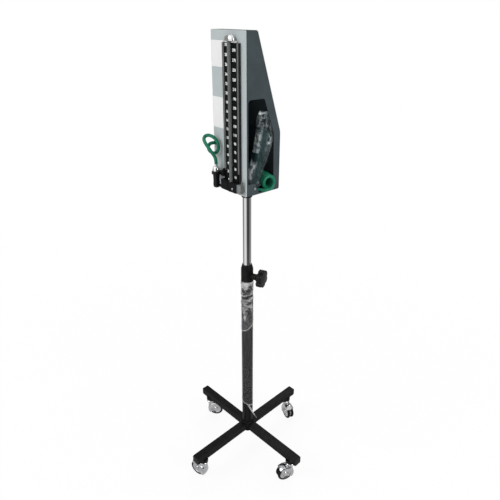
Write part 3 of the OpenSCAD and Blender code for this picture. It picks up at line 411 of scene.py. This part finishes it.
# The coil: its turns step across, each leaning a little forward of the last
COIL_TURNS, COIL_LAST_TURN, COIL_POINTS = 3.5, 3.25, 32
COIL_R, COIL_STEP, COIL_LEAN = 15.5, 11, 0.35
COIL_LAST_ACROSS, COIL_BACK, COIL_UP = 122.2, 68.5, 22.9
# Straight leads of the line: at the coil's two ends, before it, after it, and at the connector
COIL_LEAD, DROP_LEAD, TAIL_LEAD, CONNECTOR_LEAD = (0, -8, 0), (0, -3, 0), (0, -2, 0), (24, 0, 0)
# How far apart the points of a hose's line are
HOSE_GAP, SMALL_TUBE_GAP = 2.5, 2
# The cuff's foot, how far it leans back, its length and half its width
CUFF_FOOT = (97, 36, 15.5)
CUFF_LEAN = math.radians(16.5)
CUFF_LEN = 135
CUFF_HALF = 12.5
# What half its depth gains from foot to head, and the ripple's share of its outline
CUFF_WIDENING = 8.5
CUFF_RIPPLE = 0.035


def hose(name, points, diameter, look, replaces=()):
    curve = bpy.data.curves.new(name, "CURVE")
    curve.dimensions = "3D"
    curve.bevel_depth = diameter / 2 * MM
    curve.bevel_resolution = 8
    curve.use_fill_caps = True
    line = curve.splines.new("POLY")
    line.points.add(len(points) - 1)
    for spot, p in zip(line.points, points):
        spot.co = (*in_head(p), 1)
    line.use_smooth = True
    curve.materials.append(look)
    return settle(bpy.data.objects.new(name, curve), "head", replaces)


def moved(p, by):
    return tuple(x + y for x, y in zip(p, by))


def coil_point(t):
    across = COIL_LAST_ACROSS - (COIL_LAST_TURN - t) * COIL_STEP
    w = math.radians(90 - 360 * t)
    back = COIL_BACK + COIL_LEAN * (COIL_LAST_ACROSS - across)
    return (across, back + COIL_R * math.cos(w), COIL_UP + COIL_R * math.sin(w))


def pressure_hose_line():
    coil = [coil_point(k / COIL_POINTS) for k in range(int(COIL_TURNS * COIL_POINTS) + 1)]
    coil_in = moved(coil[0], COIL_LEAD)
    coil_end = moved(coil[-1], COIL_LEAD)
    drop = through(DROP_ROUTE + [moved(coil_in, DROP_LEAD), coil_in, coil[0]])
    tail = through([coil_end, moved(coil_end, TAIL_LEAD)] + TAIL_ROUTE
                   + [moved(CONNECTOR, CONNECTOR_LEAD), moved(CONNECTOR, (CONNECTOR_LEN, 0, 0))])
    return eased(through(LOOP_ROUTE)[:-1] + drop[:-1] + [Vector(p) for p in coil] + tail, HOSE_GAP)


pressure_hose = hose("pressure_hose", pressure_hose_line(), HOSE_D, LOOK["green_rubber"],
                     ("loop_hose", "hose_leads", "hose_coil"))


def cuff_middle(along):
    """A place on the cuff's middle line, in mm in the head."""
    return (CUFF_FOOT[0], CUFF_FOOT[1] + along * math.sin(CUFF_LEAN),
            CUFF_FOOT[2] + along * math.cos(CUFF_LEAN))


def cuff_side(along):
    """A place on the cuff's left side, where a tube goes in."""
    across, back, up = cuff_middle(along)
    return (across - CUFF_HALF * (1 + CUFF_RIPPLE) - 0.1, back, up)


cuff_tube_line = eased(through([
    cuff_side(36), moved(cuff_side(36), (-5, 0, 0)), (71, 46, 48), (65, 44, 42), (61, 39, 33), (60, 32, 22),
    (60, 25, 13), (62, 19, 8.0), (67, 16, 7.4), CONNECTOR]), SMALL_TUBE_GAP)
bulb_tube_line = eased(through([
    (30, 62, 97), (30, 62, 102), (33, 62, 111), (42, 62, 118), (54, 62, 119), (66, 62, 114),
    moved(cuff_side(93), (-7, 0, 0)), cuff_side(93)]), SMALL_TUBE_GAP)
cuff_tube = hose("cuff_tube", cuff_tube_line, SMALL_TUBE_D, LOOK["black_rubber"],
                 ("cuff_tubes",))
bulb_tube = hose("bulb_tube", bulb_tube_line, SMALL_TUBE_D, LOOK["black_rubber"])


# ---- Scale: numerals and marks, printed on the strip ----

SCALE_MAX = 300
ZERO_H = 31.4
UNIT_H = 0.98
PRINT_BACK, PRINT_MIDDLE, PRINT_FRONT = -4.98, -5.01, -5.04
# Where the marks start on each side of the tube, then the length and thickness of long and short ones
LEFT_MARKS, RIGHT_MARKS = 70.8, 78.2
LONG_MARK, SHORT_MARK = (2.6, 0.40), (1.5, 0.22)
# Where the numerals stand on each side, their font size, their width's share of the font's, and weight
LEFT_NUMERALS, RIGHT_NUMERALS = 60.6, 86.0
NUMERAL_SIZE, NUMERAL_SQUEEZE, NUMERAL_WEIGHT = 8.0, 0.92, 0.30
BOX_FACES = ((0, 1, 2, 3), (4, 7, 6, 5), (0, 4, 5, 1), (1, 5, 6, 2), (2, 6, 7, 3), (3, 7, 4, 0))


def mark_box(verts, faces, a0, a1, h, thick):
    faces += shifted(BOX_FACES, len(verts))
    low, high = h - thick / 2, h + thick / 2
    for out in (PRINT_BACK, PRINT_FRONT):
        for a, up in ((a0, low), (a1, low), (a1, high), (a0, high)):
            verts.append(in_head((a, out, up)))


def scale_marks():
    verts, faces = [], []
    for value in range(0, SCALE_MAX + 1, 2):
        reach, thick = SHORT_MARK if value % 10 else LONG_MARK
        up = ZERO_H + UNIT_H * value
        mark_box(verts, faces, RIGHT_MARKS, RIGHT_MARKS + reach, up, thick)
        mark_box(verts, faces, LEFT_MARKS - reach, LEFT_MARKS, up, thick)
    piece("scale_marks", verts, faces, FINE_PRINT, "head", smooth=False)


def number_mesh(value):
    """The number as a thin mesh, centred on the origin."""
    words = bpy.data.curves.new("numeral", "FONT")
    words.body = str(value)
    words.size = NUMERAL_SIZE * MM
    words.align_x = "CENTER"
    words.align_y = "CENTER"
    words.extrude = 0.03 * MM
    words.resolution_u = 4
    words.offset = NUMERAL_WEIGHT * MM
    holder = bpy.data.objects.new("numeral", words)
    scene.collection.objects.link(holder)
    bpy.context.view_layer.update()
    depsgraph = bpy.context.evaluated_depsgraph_get()
    mesh = bpy.data.meshes.new_from_object(holder.evaluated_get(depsgraph))
    bpy.data.objects.remove(holder)
    bpy.data.curves.remove(words)
    return mesh


def scale_numerals():
    verts, faces = [], []
    for value in range(0, SCALE_MAX + 1, 10):
        mesh = number_mesh(value)
        centre = RIGHT_NUMERALS if value % 20 else LEFT_NUMERALS
        up = ZERO_H + UNIT_H * value
        faces += shifted([p.vertices for p in mesh.polygons], len(verts))
        for v in mesh.vertices:
            across, out = centre + v.co.x / MM * NUMERAL_SQUEEZE, PRINT_MIDDLE - v.co.z / MM
            verts.append(in_head((across, out, up + v.co.y / MM)))
        bpy.data.meshes.remove(mesh)
    piece("scale_numerals", verts, faces, PRINT, "head", smooth=False)


scale_marks()
scale_numerals()


# ---- Cuff ----

BACK = Vector((0, math.cos(CUFF_LEAN), -math.sin(CUFF_LEAN)))
CUFF_ROWS, CUFF_COLS = 96, 128
# The roll's ends as rings: each one's share of the outline, and how far it stands out of the end
END_RINGS = [(0.93, 0.5), (0.86, 0.2), (0.84, -1.2), (0.74, -1.4), (0.66, 0.1), (0.64, -1.2), (0.54, -1.4),
             (0.46, -0.1), (0.44, -1.2), (0.33, -1.4), (0.22, -0.6), (0.10, -1.0), (0.02, -1.0)]


def lean(along):
    return Vector(cuff_middle(along))


def cuff_section(along, w, swell=0.0):
    """A point on the folded cuff: a flat squarish roll that widens upwards, with a rippled outline."""
    half_back = CUFF_HALF + CUFF_WIDENING * along / CUFF_LEN
    c, n = math.cos(w), math.sin(w)
    across = CUFF_HALF * signed_power(c, 0.7)
    back = half_back * signed_power(n, 0.7)
    ripple = 1 + CUFF_RIPPLE * math.cos(6 * w)
    return lean(along) + Vector((across * ripple + swell * c, 0, 0)) + BACK * (back * ripple + swell * n)


def cuff_point(along, w):
    """A point on the roll with the end of its last turn, its waist, its two channels and its wrinkles."""
    s = along / CUFF_LEN
    flap = ((w - math.radians(38)) % (2 * math.pi)) / (2 * math.pi)
    waist = -0.9 * bump_at(s, 0.5, 0.10)
    channel = -0.8 * (bump_at(s, 0.36, 0.012) + bump_at(s, 0.64, 0.012))
    swell = -1.7 * flap + waist + channel
    p = cuff_section(along, w, swell)
    wrinkle = 0.8 * noise_at(p, 0.07) + 0.45 * noise_at(p, 0.19, 4.0)
    return cuff_section(along, w, swell + wrinkle - 0.4)


def cuff_roll():
    verts = []
    for r in range(CUFF_ROWS):
        along = CUFF_LEN * r / (CUFF_ROWS - 1)
        pinch = 1 - 0.10 * math.exp(-along / 3.0) - 0.10 * math.exp(-(CUFF_LEN - along) / 3.0)
        middle = lean(along)
        for k in range(CUFF_COLS):
            verts.append(middle + (cuff_point(along, turn_of(k, CUFF_COLS)) - middle) * pinch)
    up = lean(1) - lean(0)
    head, foot = lean(CUFF_LEN), lean(0)
    foot_rings = [foot + (p - foot) * share - up * out
                  for share, out in reversed(END_RINGS) for p in verts[:CUFF_COLS]]
    head_rings = [head + (p - head) * share + up * out
                  for share, out in END_RINGS for p in verts[-CUFF_COLS:]]
    rows = CUFF_ROWS + 2 * len(END_RINGS)
    return piece("cuff_roll", [in_head(v) for v in foot_rings + verts + head_rings],
                 grid_faces(rows, CUFF_COLS, caps=True), LOOK["teal_cloth"], "head",
                 replaces=("cuff",))


def swollen_copy(obj, voxel, pressure):
    """An even copy of the closed shape, and how far the pressure inside moves each of its points."""
    copy = obj.copy()
    copy.data = obj.data.copy()
    copy.parent = None
    scene.collection.objects.link(copy)
    bpy.context.view_layer.objects.active = copy
    remesh = copy.modifiers.new("remesh", "REMESH")
    remesh.mode = "VOXEL"
    remesh.voxel_size = voxel
    bpy.ops.object.modifier_apply(modifier="remesh")
    start = [v.co.copy() for v in copy.data.vertices]
    cloth = copy.modifiers.new("cloth", "CLOTH")
    cloth.settings.use_pressure = True
    cloth.settings.uniform_pressure_force = pressure
    cloth.settings.effector_weights.gravity = 0
    cloth.settings.quality = 5
    for number in range(1, 21):
        scene.frame_set(number)
    shape = copy.evaluated_get(bpy.context.evaluated_depsgraph_get()).data
    shift = [v.co - s for v, s in zip(shape.vertices, start)]
    scene.frame_set(1)
    bpy.data.objects.remove(copy)
    return start, shift


def puff(obj, voxel, most, pressure=4.0):
    """Swells the closed shape by a cloth simulation under pressure, each point at most so far."""
    start, shift = swollen_copy(obj, voxel, pressure)
    tree = KDTree(len(start))
    for i, s in enumerate(start):
        tree.insert(s, i)
    tree.balance()
    for v in obj.data.vertices:
        near = tree.find_n(v.co, 4)
        total = sum(1 / (d + 1e-5) for _, _, d in near)
        move = sum((shift[i] / (d + 1e-5) for _, i, d in near), Vector()) / total
        if move.length > most:
            move *= most / move.length
        v.co += move


cuff = cuff_roll()
puff(cuff, voxel=4 * MM, most=1.3 * MM)


# ---- The cuff's strap and stitches ----

# The strap's section: places along the cuff, and how far each stands out of it
STRAP_SECTION = [(57.0, 0.25), (57.0, 1.25), (57.6, 1.5), (62.0, 1.5), (67.5, 1.6), (73.0, 1.5), (77.4, 1.5),
                 (78.0, 1.25), (78.0, 0.25), (77.0, 0.2), (67.5, 0.2), (58.0, 0.2)]
STRAP_COLS = 128
STRAP_STITCHES, STRAP_STITCH_ROWS, STRAP_STITCH_OUT = 40, (59.2, 75.8), 1.62
# The seam along the cuff's last turn: its stitches, where it starts, its run, and where the strap hides it
SEAM_STITCHES, SEAM_TURN, STITCH_LEN = 34, math.radians(43), 2.2
SEAM_START, SEAM_RUN, SEAM_HIDDEN = 6, 124, (55, 80)
SEAM_OUT = Vector((0.9, 0.2, 0))
STITCH_R = 0.28


def cuff_band():
    verts = []
    for along, out in STRAP_SECTION:
        for k in range(STRAP_COLS):
            w = turn_of(k, STRAP_COLS)
            uneven = 0.15 * noise_at((along, 9 * math.cos(w), 9 * math.sin(w)), 0.3)
            verts.append(in_head(cuff_section(along, w, out + uneven)))
    rows = len(STRAP_SECTION)
    faces = [tuple(i % len(verts) for i in face) for face in grid_faces(rows + 1, STRAP_COLS)]
    piece("cuff_band", verts, faces, LOOK["dark_strap"], "head", replaces=("cuff_strap",))


def stitch(verts, faces, a, b, sides=6):
    """A small spindle of thread from a to b."""
    a, b = in_head(a), in_head(b)
    along = (b - a).normalized()
    side = along.orthogonal().normalized()
    other = along.cross(side)
    faces += shifted(grid_faces(4, sides, caps=True), len(verts))
    for t, share in ((0.0, 0.3), (0.2, 0.95), (0.8, 0.95), (1.0, 0.3)):
        verts += tube_ring(a.lerp(b, t), side, other, STITCH_R * share * MM, sides)


def cuff_stitches():
    verts, faces = [], []
    for along in STRAP_STITCH_ROWS:
        for k in range(STRAP_STITCHES):
            w0, w1 = turn_of(k, STRAP_STITCHES), turn_of(k + 0.6, STRAP_STITCHES)
            stitch(verts, faces, cuff_section(along, w0, STRAP_STITCH_OUT),
                   cuff_section(along, w1, STRAP_STITCH_OUT))
    for k in range(SEAM_STITCHES):
        along = SEAM_START + SEAM_RUN * k / SEAM_STITCHES
        if not SEAM_HIDDEN[0] < along < SEAM_HIDDEN[1]:
            stitch(verts, faces, cuff_point(along, SEAM_TURN) + SEAM_OUT,
                   cuff_point(along + STITCH_LEN, SEAM_TURN) + SEAM_OUT)
    piece("cuff_stitches", verts, faces, STITCH, "head")


cuff_band()
cuff_stitches()


# ---- Clear bag round the cuff ----

# The bag's rows: [up, front edge, rear edge, half thickness, middle across]
BAG_ROWS = [
    (9.0, 25, 50, 1.0, 95), (10.5, 22.5, 53, 6.5, 96), (15, 20.5, 55.5, 13.5, 97), (24, 21.5, 57, 15.3, 97),
    (38, 25, 59, 15.8, 97), (52, 29, 66, 16.0, 97), (68, 34, 76, 16.2, 97), (84, 39, 84, 16.2, 97),
    (100, 43.5, 90, 16.0, 97), (118, 47, 94.5, 15.6, 97), (134, 50, 96, 14.6, 97.5),
    (148, 50.5, 95, 12.0, 98.5), (160, 49, 91.5, 8.5, 100), (170, 47.5, 88, 6.0, 102),
    (180, 47, 84.5, 4.0, 104), (187, 50, 81.0, 3.0, 105.5),
]
BAG_R, BAG_C = 130, 150
# The bag stays inside the window's plane
BAG_MOST_ACROSS = 114.8


def along_rows(table, t):
    """The table's columns at t from 0 to 1, by a smooth curve."""
    spot = t * (len(table) - 1)
    i = min(int(spot), len(table) - 2)
    f = spot - i
    a, b, c, d = (table[min(max(i + k, 0), len(table) - 1)] for k in (-1, 0, 1, 2))
    return [0.5 * (2 * q + (r - p) * f + (2 * p - 5 * q + 4 * r - s) * f * f
                   + (3 * q - p - 3 * r + s) * f ** 3)
            for p, q, r, s in zip(a, b, c, d)]


def bag_haze(p, w):
    """Painted glints where the bag's creases catch the light: its two edges, its fold, its knotted middle
    and its foot.
    """
    up, side = p[2], math.sin(w)
    patch = max(0.0, min(1.0, 0.5 + 2.4 * noise_at(p, 0.13, 3.3)))
    strands = max(0.0, 1 - 8 * abs(noise_at((p[0], p[1], p[2] * 0.4), 0.10, 6.1)))
    cross = max(0.0, 1 - 8 * abs(noise_at((p[0] * 0.6, p[1] - 0.5 * p[2], p[2] * 0.9), 0.07, 2.4)))
    either = max(strands, cross)
    # Each term below whitens the bag as a painted glint.
    front = rise(-side, 0.62, 0.95) * rise(up, 24, 42) * (1 - rise(up, 126, 146)) * (0.30 + 0.70 * patch)
    rear = rise(side, 0.80, 0.98) * rise(up, 92, 112) * (0.40 + 0.60 * patch)
    low_rear = rise(side, 0.93, 0.995) * rise(up, 26, 50) * 0.55
    fold = bump_at(up, 183, 1.8) * (0.30 + 0.4 * patch)
    corner = rise(side, 0.25, 0.75) * rise(up, 160, 176) * (0.25 + 0.75 * either)
    knot = bump_at(up, 122 + 6 * side, 15) * rise(side, -0.45, 0.30) * either
    foot = (1 - rise(up, 15, 34)) * (0.05 + 0.40 * strands)
    upper = rise(up, 130, 150) * max(strands, 0.7 * cross) * 0.35
    web = 0.09 * strands * patch
    return min(0.95, front * 0.85 + rear * 0.90 + low_rear + fold + corner * 0.9 + knot * 0.95
               + foot + upper + web)


def bag_point(row, w, at_mouth):
    """A point on the bag, creased and folded, in mm in the head; the mouth's edge is uneven."""
    up, front, rear, thick, middle = row
    c, n = math.cos(w), math.sin(w)
    across = thick * signed_power(c, 0.8)
    back = (rear - front) / 2 * signed_power(n, 0.9)
    p = Vector((middle + across, (front + rear) / 2 + back, up))
    fold = abs(noise_at((p[0], p[1], p[2] * 0.35), 0.11, 1.5)) * 2.6 - 0.6
    crinkle = abs(noise_at(p, 0.22, 7.0)) * 1.5 + 0.35 * noise_at(p, 0.6, 2.0)
    out = (fold + crinkle) * (0.35 + 0.65 * min(1, thick / 10))
    p += Vector((c * out, n * out * 0.8, 0.8 * noise_at(p, 0.15, 3.0)))
    p.x = min(p.x, BAG_MOST_ACROSS)
    if at_mouth:
        p.z += 2.4 * math.sin(w * 1.5) + 1.2 * noise_at(p, 0.3, 9.0)
    return p


def clear_bag():
    verts, haze_and_glint_values = [], []
    for r in range(BAG_R):
        row = along_rows(BAG_ROWS, r / (BAG_R - 1))
        for k in range(BAG_C):
            w = turn_of(k, BAG_C)
            p = bag_point(row, w, r >= BAG_R - 2)
            verts.append(in_head(p))
            haze_and_glint_values.append(bag_haze(p, w))
    obj = piece("clear_bag", verts, grid_faces(BAG_R, BAG_C), BAG, "head")
    set_haze(obj, haze_and_glint_values)
    return obj


bag = clear_bag()


# ---- Inflation bulb ----

BULB_ACROSS, BULB_BACK = 30, 62
BULB_R, BULB_FOOT, BULB_LEN = 21, 9.4, 61.2
BULB_SIDES, BULB_STEPS = 96, 40
# The outline's flat ends at the foot and at the neck, as [radius, height]
FOOT_END, NECK_END = [(0.01, 9.0), (3.2, 9.0), (3.6, 9.3)], [(3.6, 70.8), (3.2, 71.0), (0.01, 71.0)]
SEAM_R, SEAM_POINTS, SEAM_SIDES = 0.45, 61, 6


def bulb_radius(s):
    """The bulb's radius at s from 0 at its foot to 1 at its neck."""
    return BULB_R * math.sin(math.pi * (0.1 + 0.8 * s)) ** 0.62


def bulb_body():
    side = [(bulb_radius(k / BULB_STEPS) - 0.05, BULB_FOOT + BULB_LEN * k / BULB_STEPS)
            for k in range(BULB_STEPS + 1)]
    profile = FOOT_END + side + NECK_END
    verts = []
    for radius, up in profile:
        for k in range(BULB_SIDES):
            w = turn_of(k, BULB_SIDES)
            verts.append(in_head((BULB_ACROSS, BULB_BACK, 0))
                         + Vector((radius * math.cos(w), radius * math.sin(w), up)) * MM)
    piece("bulb_body", verts, grid_faces(len(profile), BULB_SIDES, caps=True), LOOK["black_rubber"], "head",
          replaces=("bulb",))


def bulb_seam():
    """The moulding line up each side of the bulb."""
    verts, faces = [], []
    for turn in (0.4, math.pi + 0.4):
        line = []
        for k in range(SEAM_POINTS):
            s = k / (SEAM_POINTS - 1)
            r = bulb_radius(s) - 0.25
            line.append(in_head((BULB_ACROSS + r * math.cos(turn), BULB_BACK + r * math.sin(turn),
                                 BULB_FOOT + BULB_LEN * s)))
        faces += shifted(grid_faces(len(line), SEAM_SIDES, caps=True), len(verts))
        for i, p in enumerate(line):
            along = (line[min(i + 1, len(line) - 1)] - line[max(i - 1, 0)]).normalized()
            side = along.cross(Vector((0.3, 0.8, 0.1))).normalized()
            verts += tube_ring(p, side, along.cross(side), SEAM_R * MM, SEAM_SIDES)
    piece("bulb_seam", verts, faces, LOOK["black_rubber"], "head")


bulb_body()
bulb_seam()


# ---- Clear film round the lower column ----

FILM_TOP, COLUMN_R = 600.0, 16.0
COLLAR_FOOT, COLLAR_OUT = 593.0, 0.75
FILM_R, FILM_C = 340, 132
# Where the film is drawn in tight, and where it stands proud above that
TIE_H, TIE_RIM_H, FILM_END_H = 553, 560, 594
# A torn strip that hangs from the film's lower edge, as [turn in degrees, height, radius]
STRIP = [(-34, 171, 17.2), (-25, 166, 17.8), (-13, 156, 19.2), (0, 144, 21.4), (12, 132, 24.2),
         (22, 121, 27.4), (29, 112, 30.2)]
STRIP_ACROSS = (-1, -0.33, 0.33, 1)


def film_border(w):
    """The height of the slanted seam between the crumpled part and the smooth part."""
    return 457 + 15 * math.sin(w + 0.09)


def film_foot(w):
    return 171 - 8 * math.sin(w + 0.70)


def film_slope(z, w):
    """The height on the film's own slanting folds."""
    return z - 5 * math.sin(w + 0.6)


def film_haze(z, w, spot):
    """How white the film is: milky low down, with painted highlights along its lower edge and seam, and
    painted highlights and shade on its blotches and creases above the seam.
    """
    streak = noise_at((spot[0], spot[1], z * 0.04), 0.13, 4.0)
    # Milky haze: partly the film's own haze and partly a painted sheen.
    milky = 0.058 + 0.042 * streak + 0.026 * noise_at((spot[0], spot[1], z * 0.02), 0.04, 8.0)
    # Painted highlights along the film's lower edge and along the seam.
    rim = 0.80 * bump_at(z, film_foot(w) + 0.9, 1.7)
    height = z - film_border(w)
    seam = 0.70 * bump_at(height, 0.0, 1.7)
    if height < 0:
        return max(0.01, milky * (0.75 + 0.25 * rise(height, -60, 0)) + rim + seam)
    # Above the seam: painted highlights on the creases and blotches, a painted bright band at the top, a
    # painted rim above the tie, a painted dark line at the tie, and a painted glint at one turn of the
    # column.
    crease = max(0.0, 1 - 5.5 * abs(noise_at((spot[0] * 0.55, spot[1] * 0.55, z * 1.5), 0.075, 2.0)))
    blotch = max(0.0, min(1.0, 0.45 + 2.4 * noise_at((spot[0] * 0.6, spot[1] * 0.6, z * 1.4), 0.05, 9.0)))
    slope = film_slope(z, w)
    top = bump_at(slope, FILM_END_H, 7) * 0.55
    tie = 0.45 * bump_at(slope, TIE_RIM_H, 2.2) - 0.5 * bump_at(slope, TIE_H, 3.0)
    glint = 0.75 * bump_at(w, math.radians(-62), 0.17) * bump_at(z, 487, 9)
    calm = 0.35 + 0.65 * rise(height, 30, 75)
    return min(0.9, max(0.02, 0.07 + (0.42 * crease + 0.30 * blotch) * calm + top + tie + seam + glint))


def film_out(z, w, spot):
    """How far the film stands out of the column: fine pleats low down, crumples above the seam."""
    crumple = rise(z - film_border(w), 0, 8)
    pleat = 0.95 + 0.6 * abs(noise_at((spot[0], spot[1], z * 0.05), 0.09, 5.0))
    large = 2.4 * abs(noise_at((spot[0] * 0.7, spot[1] * 0.7, z * 1.3), 0.05, 2.0))
    small = 1.0 * abs(noise_at((spot[0], spot[1], z * 1.6), 0.12, 8.0))
    tie = 1 - 0.8 * bump_at(film_slope(z, w), TIE_H, 4)
    seam = 1.0 * bump_at(z, film_border(w), 2.5)
    out = pleat * (1 - crumple) + (0.5 + large + small) * crumple * tie + seam
    on_collar = COLLAR_OUT * rise(z, COLLAR_FOOT - 3, COLLAR_FOOT - 0.5)
    return max(out, 0.25) * (1 - 0.7 * rise(z, 588, FILM_END_H)) + on_collar


def film_wrap():
    """The film's points and their haze with its painted highlights, row by row up the column."""
    verts, haze_and_glint_values = [], []
    for r in range(FILM_R):
        for k in range(FILM_C):
            w = turn_of(k, FILM_C)
            turn = (w + math.pi) % (2 * math.pi) - math.pi
            low = film_foot(w)
            z = low + (FILM_TOP - low) * r / (FILM_R - 1)
            spot = (40 * math.cos(w), 40 * math.sin(w), z)
            radius = COLUMN_R + film_out(z, w, spot)
            verts.append(Vector((radius * math.cos(w), radius * math.sin(w), z)) * MM)
            haze_and_glint_values.append(film_haze(z, turn, spot))
    return verts, haze_and_glint_values


def film_strip():
    """The torn strip's points and their haze, which narrows and twists as it hangs."""
    route = [(rad * math.cos(math.radians(az)), rad * math.sin(math.radians(az)), z) for az, z, rad in STRIP]
    line = through(route)
    verts, haze_and_glint_values = [], []
    for i, p in enumerate(line):
        t = i / (len(line) - 1)
        wide = 2.6 * (1 - t) ** 0.7 + 0.7
        twist = 1.3 * t + 0.3 * math.sin(9 * t)
        radial = Vector((p.x, p.y, 0)).normalized()
        side = Vector((-radial.y, radial.x, 0.35)).normalized()
        across = side * math.cos(twist) + radial * math.sin(twist)
        for k in STRIP_ACROSS:
            verts.append((p + across * wide * k + radial * 0.5 * math.cos(3 * k + 8 * t)) * MM)
            haze_and_glint_values.append(0.80 - 0.15 * abs(k))
    return verts, haze_and_glint_values


def column_film():
    wrap, wrap_haze_and_glints = film_wrap()
    strip, strip_haze = film_strip()
    strip_faces = grid_faces(len(strip) // len(STRIP_ACROSS), len(STRIP_ACROSS), closed=False)
    faces = grid_faces(FILM_R, FILM_C) + shifted(strip_faces, len(wrap))
    obj = piece("column_film", wrap + strip, faces, FILM, "base")
    set_haze(obj, wrap_haze_and_glints + strip_haze)
    return obj


film = column_film()


# ---- Domed cap on the scale's top ----

DOME_ROWS, DOME_COLS = 26, 96
DOME_ACROSS, DOME_HALF, DOME_DEPTH = 74.5, 16.0, 15.2
DOME_FOOT, DOME_HIGH, DOME_SKIRT = 333.5, 12.6, 3.2
# The share of the rows that the upright skirt takes
SKIRT_ROWS = 0.16


def dome_row(t):
    """The outline's share and its height, at t from 0 at the foot to 1 at the top."""
    if t < SKIRT_ROWS:
        return 1.0, DOME_SKIRT * t / SKIRT_ROWS
    w = (t - SKIRT_ROWS) / (1 - SKIRT_ROWS) * math.pi / 2
    return math.cos(w) ** 0.72, DOME_SKIRT + (DOME_HIGH - DOME_SKIRT) * math.sin(w)


def top_dome():
    """A chrome cap with a flat back: an oval in plan, on a short upright skirt."""
    verts = []
    for r in range(DOME_ROWS):
        share, up = dome_row(r / (DOME_ROWS - 1))
        for k in range(DOME_COLS):
            w = turn_of(k, DOME_COLS)
            across = DOME_HALF * signed_power(math.cos(w), 0.9) * max(share, 0.01)
            out = DOME_DEPTH / 2 * signed_power(math.sin(w), 0.9) * max(share, 0.01)
            verts.append(in_head((DOME_ACROSS + across, min(out - DOME_DEPTH / 2, -0.05), DOME_FOOT + up)))
    piece("top_dome", verts, grid_faces(DOME_ROWS, DOME_COLS, caps=True), LOOK["chrome_trim"], "head",
          replaces=("top_cap",))


top_dome()


# ---- Floor, world and lamps ----

# How bright the room is for the metal to mirror, by direction from -180 to 180 degrees
ROOM = [(-180, 0.5), (-170, 0.5), (-160, 0.30), (-128, 0.28), (-118, 1.0), (-58, 1.0), (-46, 0.10),
        (22, 0.06), (34, 0.36), (88, 0.36), (104, 0.5), (180, 0.5)]
AMBIENT = 0.62
FLOOR_HALF = 6


def room_level(tree, east, north):
    turn = maths(tree, "ARCTAN2", north, east)
    ramp = put(tree, "ValToRGB", {0: spread(tree, turn, 0, 1, -math.pi, math.pi)})
    stops = ramp.color_ramp.elements
    for angle, level in ROOM:
        if abs(angle) == 180:
            stop = stops[0] if angle < 0 else stops[len(stops) - 1]
        else:
            stop = stops.new((angle + 180) / 360)
        stop.color = (level, level, level, 1)
    return ramp.outputs[0]


def white_stage():
    """White to the camera, apart from a soft shadow near the object, and the room to polished metal."""
    mat = bpy.data.materials.new("pale_floor")
    mat.use_nodes = True
    tree = mat.node_tree
    tree.nodes.clear()
    path = put(tree, "LightPath")
    place = coords(tree)
    axes = put(tree, "SeparateXYZ", {0: place})
    away = put(tree, "VectorMath", {0: place}, operation="LENGTH").outputs["Value"]
    seen = maths(tree, "MAXIMUM", path.outputs["Is Camera Ray"], path.outputs["Is Glossy Ray"])
    seen = maths(tree, "MAXIMUM", seen, path.outputs["Is Transmission Ray"])
    tone = blend_colour(tree, speckle(tree, 3, 4), (0.90, 0.90, 0.90), (0.94, 0.94, 0.94))
    plain = put(tree, "BsdfDiffuse", {"Color": tone}).outputs[0]
    far = maths(tree, "MULTIPLY", path.outputs["Is Glossy Ray"], spread(tree, away, 0, 1, 0.40, 0.75))
    room = room_level(tree, axes.outputs[0], axes.outputs[1])
    near = maths(tree, "SUBTRACT", 1.0, maths(tree, "MULTIPLY", path.outputs["Is Glossy Ray"], 0.4))
    level = put(tree, "Mix", {0: far, 2: near, 3: room}, data_type="FLOAT").outputs[0]
    glow = put(tree, "Emission", {"Strength": level}).outputs[0]
    share = maths(tree, "MULTIPLY", seen, spread(tree, away, 0.90, 1.0, 0.5, 1.6))
    mixed = put(tree, "MixShader", {0: share, 1: plain, 2: glow}).outputs[0]
    tree.links.new(mixed, put(tree, "OutputMaterial").inputs["Surface"])
    return mat


def pale_floor():
    mesh = bpy.data.meshes.new("floor")
    corners = [(-1, -1), (1, -1), (1, 1), (-1, 1)]
    mesh.from_pydata([(x * FLOOR_HALF, y * FLOOR_HALF, 0) for x, y in corners], [], [(0, 1, 2, 3)])
    mesh.materials.append(white_stage())
    obj = bpy.data.objects.new("floor", mesh)
    scene.collection.objects.link(obj)
    return obj


def studio_world():
    """White to the camera, plain light on the object, and the room to polished metal."""
    world = bpy.data.worlds.new("studio")
    world.use_nodes = True
    tree = world.node_tree
    tree.nodes.clear()
    path = put(tree, "LightPath")
    place = put(tree, "SeparateXYZ", {0: put(tree, "TexCoord").outputs["Generated"]})
    above = spread(tree, place.outputs[2], 0, 0.9, 0.45, 0.80)
    room = maths(tree, "MAXIMUM", room_level(tree, place.outputs[0], place.outputs[1]), above)
    glossy = path.outputs["Is Glossy Ray"]
    level = put(tree, "Mix", {0: glossy, 2: AMBIENT, 3: room}, data_type="FLOAT").outputs[0]
    seen = maths(tree, "MAXIMUM", path.outputs["Is Camera Ray"], path.outputs["Is Transmission Ray"])
    level = put(tree, "Mix", {0: seen, 2: level, 3: 1.0}, data_type="FLOAT").outputs[0]
    back = put(tree, "Background", {"Color": (1, 1, 1, 1), "Strength": level})
    tree.links.new(back.outputs[0], put(tree, "OutputWorld").inputs["Surface"])
    return world


def lamp(name, place, size, power, aim=(0, 0, 0.9)):
    light = bpy.data.lights.new(name, "AREA")
    light.shape = "RECTANGLE"
    light.size, light.size_y = size
    light.energy = power
    obj = bpy.data.objects.new(name, light)
    obj.location = place
    obj.rotation_euler = (Vector(aim) - Vector(place)).to_track_quat("-Z", "Y").to_euler()
    scene.collection.objects.link(obj)


floor = pale_floor()
scene.world = studio_world()
lamp("key", (-0.9, -2.3, 2.5), (1.3, 1.8), 33)
lamp("fill", (2.4, 0.3, 1.8), (1.2, 1.6), 26)
lamp("rim", (-1.2, 1.9, 2.4), (1.2, 1.2), 16)
scene.view_settings.view_transform = "Standard"
